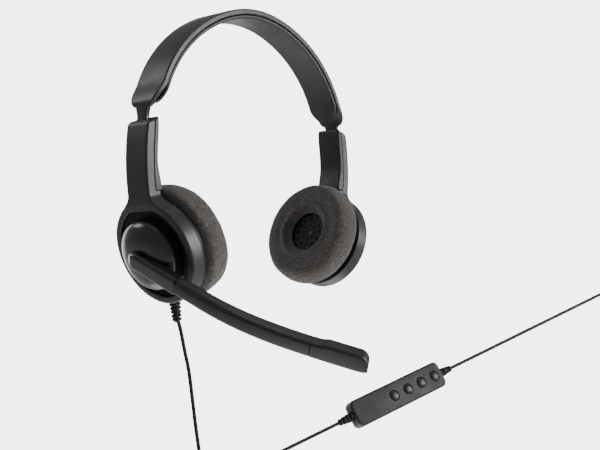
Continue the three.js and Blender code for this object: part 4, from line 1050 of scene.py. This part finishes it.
def ramp(tree, value, low, high, to_low=0.0, to_high=1.0):
    """A value between low and high stretched over another range."""
    return node(tree, "ShaderNodeMapRange", {0: value, 1: low, 2: high, 3: to_low, 4: to_high},
                interpolation_type="SMOOTHSTEP").outputs[0]


# %% Shared effects
def mould_texture_group():
    """Mould texture: two sizes of noise as a height, and a slow patchiness as a mask."""
    tree, start, end = new_group("mould_texture", [("Grain per m", 2600.0)],
                                 [("Height", "NodeSocketFloat"), ("Patches", "NodeSocketFloat")])
    place = node(tree, "ShaderNodeTexCoord").outputs["Object"]
    grain = start.outputs["Grain per m"]
    fine = node(tree, "ShaderNodeTexNoise", {"Vector": place, "Scale": grain, "Detail": 2.0})
    broad = node(tree, "ShaderNodeTexNoise", {"Vector": place, "Scale": 70.0, "Detail": 3.0})
    tree.links.new(fine.outputs["Fac"], end.inputs["Height"])
    tree.links.new(ramp(tree, broad.outputs["Fac"], 0.3, 0.7), end.inputs["Patches"])
    return tree


def worn_edge_group():
    """Worn edges: where the surface turns sharply outwards, broken up by noise."""
    tree, start, end = new_group("worn_edge", [("Amount", 1.0)], [("Mask", "NodeSocketFloat")])
    place = node(tree, "ShaderNodeTexCoord").outputs["Object"]
    sharp = ramp(tree, node(tree, "ShaderNodeNewGeometry").outputs["Pointiness"], 0.58, 0.75)
    noise = node(tree, "ShaderNodeTexNoise", {"Vector": place, "Scale": 260.0, "Detail": 3.0})
    rough = ramp(tree, noise.outputs["Fac"], 0.35, 0.65)
    mask = maths(tree, "MULTIPLY", maths(tree, "MULTIPLY", sharp, rough), start.outputs["Amount"], True)
    tree.links.new(mask, end.inputs["Mask"])
    return tree


def dust_group():
    """Dust: rare small specks from a cell pattern, as a mask."""
    tree, start, end = new_group("dust", [("Amount", 1.0)], [("Mask", "NodeSocketFloat")])
    place = node(tree, "ShaderNodeTexCoord").outputs["Object"]
    cells = node(tree, "ShaderNodeTexVoronoi", {"Vector": place, "Scale": 520.0})
    near = ramp(tree, cells.outputs["Distance"], 0.05, 0.12, 1.0, 0.0)
    pick = node(tree, "ShaderNodeSeparateColor", {0: cells.outputs["Color"]}).outputs[0]
    rare = ramp(tree, pick, 0.93, 0.99)
    mask = maths(tree, "MULTIPLY", maths(tree, "MULTIPLY", near, rare), start.outputs["Amount"], True)
    tree.links.new(mask, end.inputs["Mask"])
    return tree


GROUPS = {"texture": mould_texture_group(), "edge": worn_edge_group(), "dust": dust_group()}


def placed(tree, name, **values):
    """One of the shared groups, placed in a material with its values."""
    made = node(tree, "ShaderNodeGroup", node_tree=GROUPS[name])
    for key, value in values.items():
        made.inputs[key.replace("_", " ")].default_value = value
    return made


def mixed(tree, mask, a, b):
    """A colour between two, by a mask."""
    made = node(tree, "ShaderNodeMix", data_type="RGBA")
    for socket, value in zip((made.inputs[0], made.inputs[6], made.inputs[7]), (mask, a, b)):
        if isinstance(value, bpy.types.NodeSocket):
            tree.links.new(value, socket)
        else:
            socket.default_value = value
    return made.outputs[2]


def rgb(red, green, blue):
    """A colour from three linear values."""
    return (red, green, blue, 1.0)


def new_material(name):
    """A new material with nodes, its tree and its main shader."""
    material = bpy.data.materials.new(name)
    material.use_nodes = True
    return material, material.node_tree, material.node_tree.nodes["Principled BSDF"]


def moulded(name, colour, roughness, bump=0.25, grain=2600.0, wear=0.35, specks=0.5, coat=0.0, **sockets):
    """A moulded plastic or rubber: mould texture, patchy gloss, worn edges and a little dust."""
    material, tree, shader = new_material(name)
    texture = placed(tree, "texture", Grain_per_m=grain)
    edge = placed(tree, "edge", Amount=wear)
    dust = placed(tree, "dust", Amount=specks)
    pale = tuple(min(1, 1.9 * c + 0.012) for c in colour[:3])
    dark = tuple(0.86 * c for c in colour[:3])
    base = mixed(tree, texture.outputs["Patches"], rgb(*dark), colour)
    base = mixed(tree, edge.outputs["Mask"], base, rgb(*pale))
    base = mixed(tree, dust.outputs["Mask"], base, rgb(0.16, 0.155, 0.15))
    tree.links.new(base, shader.inputs["Base Color"])
    gloss = ramp(tree, texture.outputs["Patches"], 0, 1, roughness * 0.92, roughness * 1.07)
    gloss = maths(tree, "SUBTRACT", gloss, maths(tree, "MULTIPLY", edge.outputs["Mask"], 0.08))
    gloss = maths(tree, "ADD", gloss, maths(tree, "MULTIPLY", dust.outputs["Mask"], 0.4), True)
    tree.links.new(gloss, shader.inputs["Roughness"])
    relief = node(tree, "ShaderNodeBump", {"Height": texture.outputs["Height"], "Strength": bump,
                                           "Distance": 0.00006})
    tree.links.new(relief.outputs["Normal"], shader.inputs["Normal"])
    shader.inputs["Coat Weight"].default_value = coat
    shader.inputs["Coat Roughness"].default_value = 0.08
    for key, value in sockets.items():
        shader.inputs[key.replace("_", " ")].default_value = value
    return material


# %% Plastics, rubber, metal
charcoal = moulded("charcoal_plastic", rgb(0.018, 0.018, 0.020), 0.42, 0.14)
band_finish = moulded("band_plastic", rgb(0.021, 0.021, 0.024), 0.42, 0.12, wear=0.0)
strip_finish = moulded("strip_skin", rgb(0.018, 0.0172, 0.0185), 0.52, 0.3, 1500.0, wear=0.0)
dark = moulded("dark_plastic", rgb(0.009, 0.0095, 0.012), 0.46, 0.14)
# Near-black: the grilles' colour, and painted shade on the faces inside the rings' openings.
hollow = moulded("grille_and_painted_recess_shade", rgb(0.004, 0.004, 0.005), 0.62, 0.1, wear=0.0, Specular_IOR_Level=0.3)
glossy = moulded("gloss_plastic", rgb(0.012, 0.012, 0.014), 0.24, 0.02, wear=0.1, coat=0.25)
matte = moulded("soft_touch", rgb(0.010, 0.010, 0.0115), 0.42, 0.14, 3000.0)
# The upper shell's finish; the lower shell gets the darker dark_plastic as painted shade.
controller_finish = moulded("controller_plastic", rgb(0.013, 0.013, 0.0135), 0.58, 0.3, 2000.0)
button_rubber = moulded("button_rubber", rgb(0.012, 0.012, 0.0125), 0.42, 0.1)
rubber = moulded("cord_rubber", rgb(0.012, 0.012, 0.013), 0.62, 0.05, 1800.0, wear=0.0,
                 Specular_IOR_Level=0.3)
steel = moulded("steel", rgb(0.55, 0.55, 0.56), 0.3, 0.1, wear=0.0, Metallic=1.0)
copper = moulded("copper_wire", rgb(0.30, 0.09, 0.04), 0.4, 0.1, Metallic=0.6)
film = moulded("speaker_film", rgb(0.42, 0.39, 0.32), 0.35, 0.1)
board = moulded("circuit_board", rgb(0.02, 0.10, 0.05), 0.45, 0.2)

# %% [markdown]
# Foam is thousands of open cells. The large relief is in the mesh, so the material only adds what
# is smaller: dark pores between pale cell walls, light fibres that catch the light, and a bump for
# the cells. The cell pattern is measured in cells per metre, so it has the real scale everywhere.

# %% Foam
def foam_material():
    """Open foam: pores from a cell pattern, walls from its edges, and slow changes of shade."""
    material, tree, shader = new_material("cushion_foam")
    place = node(tree, "ShaderNodeTexCoord").outputs["Object"]
    cells = node(tree, "ShaderNodeTexVoronoi", {"Vector": place, "Scale": 2200.0})
    walls = node(tree, "ShaderNodeTexVoronoi", {"Vector": place, "Scale": 1500.0}, feature="DISTANCE_TO_EDGE")
    fine = node(tree, "ShaderNodeTexNoise", {"Vector": place, "Scale": 2300.0, "Detail": 2.0})
    slow = node(tree, "ShaderNodeTexNoise", {"Vector": place, "Scale": 240.0, "Detail": 4.0})
    wall = ramp(tree, walls.outputs["Distance"], 0.02, 0.2, 1.0, 0.0)
    pick = node(tree, "ShaderNodeSeparateColor", {0: cells.outputs["Color"]}).outputs[0]
    base = mixed(tree, wall, rgb(0.052, 0.048, 0.044), rgb(0.105, 0.096, 0.088))
    base = mixed(tree, maths(tree, "MULTIPLY", slow.outputs["Fac"], 0.6), base, rgb(0.078, 0.071, 0.065))
    base = mixed(tree, ramp(tree, pick, 0.84, 0.98, 0.0, 0.75), base, rgb(0.23, 0.205, 0.18))
    base = mixed(tree, ramp(tree, pick, 0.18, 0.02, 0.0, 0.75), base, rgb(0.022, 0.021, 0.020))
    tree.links.new(base, shader.inputs["Base Color"])
    height = maths(tree, "ADD", wall, maths(tree, "MULTIPLY", fine.outputs["Fac"], 0.8))
    relief = node(tree, "ShaderNodeBump", {"Height": height, "Strength": 0.8, "Distance": 0.0003})
    tree.links.new(relief.outputs["Normal"], shader.inputs["Normal"])
    tree.links.new(ramp(tree, fine.outputs["Fac"], 0.3, 0.7, 0.85, 1.0), shader.inputs["Roughness"])
    shader.inputs["Sheen Weight"].default_value = 0.25
    shader.inputs["Sheen Roughness"].default_value = 0.5
    shader.inputs["Specular IOR Level"].default_value = 0.25
    return material


foam = foam_material()
print("materials:", len(bpy.data.materials))

# %% [markdown]
# Now every piece gets its finish and rides on the body it belongs to, and the plain solids of the frame that
# it stands for are hidden. What is hidden inside keeps its solid and only gets a better finish.

# %% Pieces, bodies and finishes
MIC, PLAIN = "mic_side_earpiece", "plain_side_earpiece"
PIECES = [
    (band_shell, "headband", band_finish, "charcoal_plastic", ["headband_shell"]),
    (band_pad, "headband", strip_finish, "pad_leatherette", ["headband_pad"]),
    (outer_cap, PLAIN, charcoal, "charcoal_plastic", ["plain_side_outer_cap"]),
    (turret, "boom", glossy, "gloss_plastic", ["boom_turret"]),
    (root, "boom", glossy, "gloss_plastic", ["boom_root"]),
    (tube, "boom", matte, "soft_touch", ["boom_tube"]),
    (pod, "boom", matte, "soft_touch", ["mic_pod_shell", "mic_pod_cover"]),
    (cup_relief, MIC, rubber, "cord_rubber", ["cup_strain_relief"]),
    (headset_end, MIC, rubber, "cord_rubber", ["controller_relief_headset_end"]),
    (plug_end, MIC, rubber, "cord_rubber", ["controller_relief_plug_end"]),
    (plug_relief, MIC, rubber, "cord_rubber", ["plug_strain_relief"]),
    (plug_body, MIC, dark, "dark_plastic", ["plug_body"]),
    (plug_tube, MIC, steel, "steel", ["plug_metal_shell"]),
    (tie, MIC, rubber, "cord_rubber", ["cord_tie"]),
    (top_shell, MIC, controller_finish, "dark_plastic", ["controller_top_shell"]),
    # The lower shell takes the darker dark_plastic instead of the upper shell's controller_plastic: painted
    # shade on its walls.
    (bottom_shell, MIC, dark, "dark_plastic", ["controller_bottom_shell"]),
    (headset_cord, MIC, rubber, "cord_rubber", ["cord_from_cup", "cord_hank", "cord_to_controller"]),
    (plug_cord, MIC, rubber, "cord_rubber", ["cord_to_plug"]),
]
for i, cap in enumerate(buttons, 1):
    PIECES.append((cap, f"button_{i}", button_rubber, "button_rubber", [f"controller_button_{i}"]))
for side, body in (("mic", MIC), ("plain", PLAIN)):
    PIECES += [
        (arms[side], body, charcoal, "charcoal_plastic", [f"{side}_side_arm_shell"]),
        (covers[side], body, dark, "dark_plastic", [f"{side}_side_arm_cover"]),
        (plates[side], body, dark, "dark_plastic", [f"{side}_side_capsule_housing"]),
        (grilles[side], body, hollow, "dark_plastic", [f"{side}_side_speaker_baffle"]),
        (cushions[side], body, foam, "cushion_foam", [f"{side}_side_ear_cushion"]),
    ]
for piece, body, finish, slot, stands_for in PIECES:
    # An arm has two slots: the faces inside its ring's opening get the near-black hollow material as painted
    # shade.
    if len(piece.data.materials) == 2:
        piece.data.materials[0], piece.data.materials[1] = finish, hollow
    else:
        piece.data.materials.clear()
        piece.data.materials.append(finish)
    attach(piece, body)
    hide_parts(*stands_for)
print("new pieces:", len(PIECES))

# %% Finishes of the pieces inside
INSIDE = {"spring": steel, "screw": steel, "magnet": steel, "clip": steel, "capsule": steel,
          "wire": copper, "board": board}
for name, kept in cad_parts.items():
    if not kept.hide_render:
        finish = next((m for word, m in INSIDE.items() if word in name), film)
        for i in range(len(kept.material_slots)):
            kept.material_slots[i].material = finish
print("kept inside:", sum(not kept.hide_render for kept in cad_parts.values()))

# %% [markdown]
# The headset hangs where a head would hold it, over a plain pale floor. Soft lights stand in
# front, behind, above and below, and a pale room fills in the rest, so that dark plastic still shows its
# shape by what it reflects.

# %% Floor and light
FLOOR_Z, FLOOR_HALF = -0.50, 6.0
floor_points = np.array([[x, y, FLOOR_Z / MM] for x, y in
                         ((-1, -1), (1, -1), (1, 1), (-1, 1))]) * [FLOOR_HALF / MM, FLOOR_HALF / MM, 1]
floor = add_mesh("floor", floor_points, [(0, 1, 2, 3)])
ROOM_SEEN, ROOM_LIGHT = 5.0, 0.3
pale, pale_tree, surface = new_material("pale_floor")
surface.inputs["Base Color"].default_value = rgb(0.8, 0.8, 0.8)
surface.inputs["Roughness"].default_value = 0.9
glow = node(pale_tree, "ShaderNodeEmission", {"Strength": ROOM_SEEN})
seen = node(pale_tree, "ShaderNodeLightPath").outputs["Is Camera Ray"]
choice = node(pale_tree, "ShaderNodeMixShader", {0: seen, 1: surface.outputs[0], 2: glow.outputs[0]})
pale_tree.links.new(choice.outputs[0], pale_tree.nodes["Material Output"].inputs["Surface"])
floor.data.materials.append(pale)

world = bpy.data.worlds.new("pale_room")
world.use_nodes = True
seen = node(world.node_tree, "ShaderNodeLightPath").outputs["Is Camera Ray"]
strength = ramp(world.node_tree, seen, 0, 1, ROOM_LIGHT, ROOM_SEEN)
background = world.node_tree.nodes["Background"]
background.inputs["Color"].default_value = rgb(1, 1, 1)
world.node_tree.links.new(strength, background.inputs["Strength"])
bpy.context.scene.world = world


def soft_light(name, place, target, size, power):
    """A square area light that shines from a place at a target."""
    data = bpy.data.lights.new(name, "AREA")
    data.shape, data.size, data.energy = "SQUARE", size, power
    light = linked(name, data)
    way = Vector(target) - Vector(place)
    light.matrix_world = Matrix.Translation(place) @ way.to_track_quat("-Z", "Y").to_matrix().to_4x4()
    light.visible_camera = False
    return light


MIDDLE, MIC_CUP = Vector((0, 0, -0.12)), Vector((-0.08, 0, -0.11))
for name, target, way, far, size, power, spread in (
        ("front_high", MIDDLE, (0.42, -0.86, 0.28), 1.3, 0.5, 13, 180),
        ("front_right", MIDDLE, (0.75, -0.66, 0.12), 1.3, 0.9, 1.5, 180),
        ("front_right_beam", MIC_CUP, (0.75, -0.66, 0.05), 1.2, 0.3, 0.06, 16),
        ("back", MIDDLE, (0.35, 0.93, -0.10), 1.6, 2.0, 26, 180),
        ("back_left_high", MIDDLE, (-0.46, 0.66, 0.58), 1.3, 0.5, 3, 180),
        ("below", MIDDLE, (0.05, 0.10, -1.0), 0.36, 0.5, 1.8, 180),
        ("top", MIDDLE, (0.1, 0.0, 1.0), 1.4, 0.9, 2.5, 180)):
    light = soft_light(name, target + far * Vector(way), target, size, power)
    light.data.spread = math.radians(spread)
print("lights:", len(bpy.data.lights))
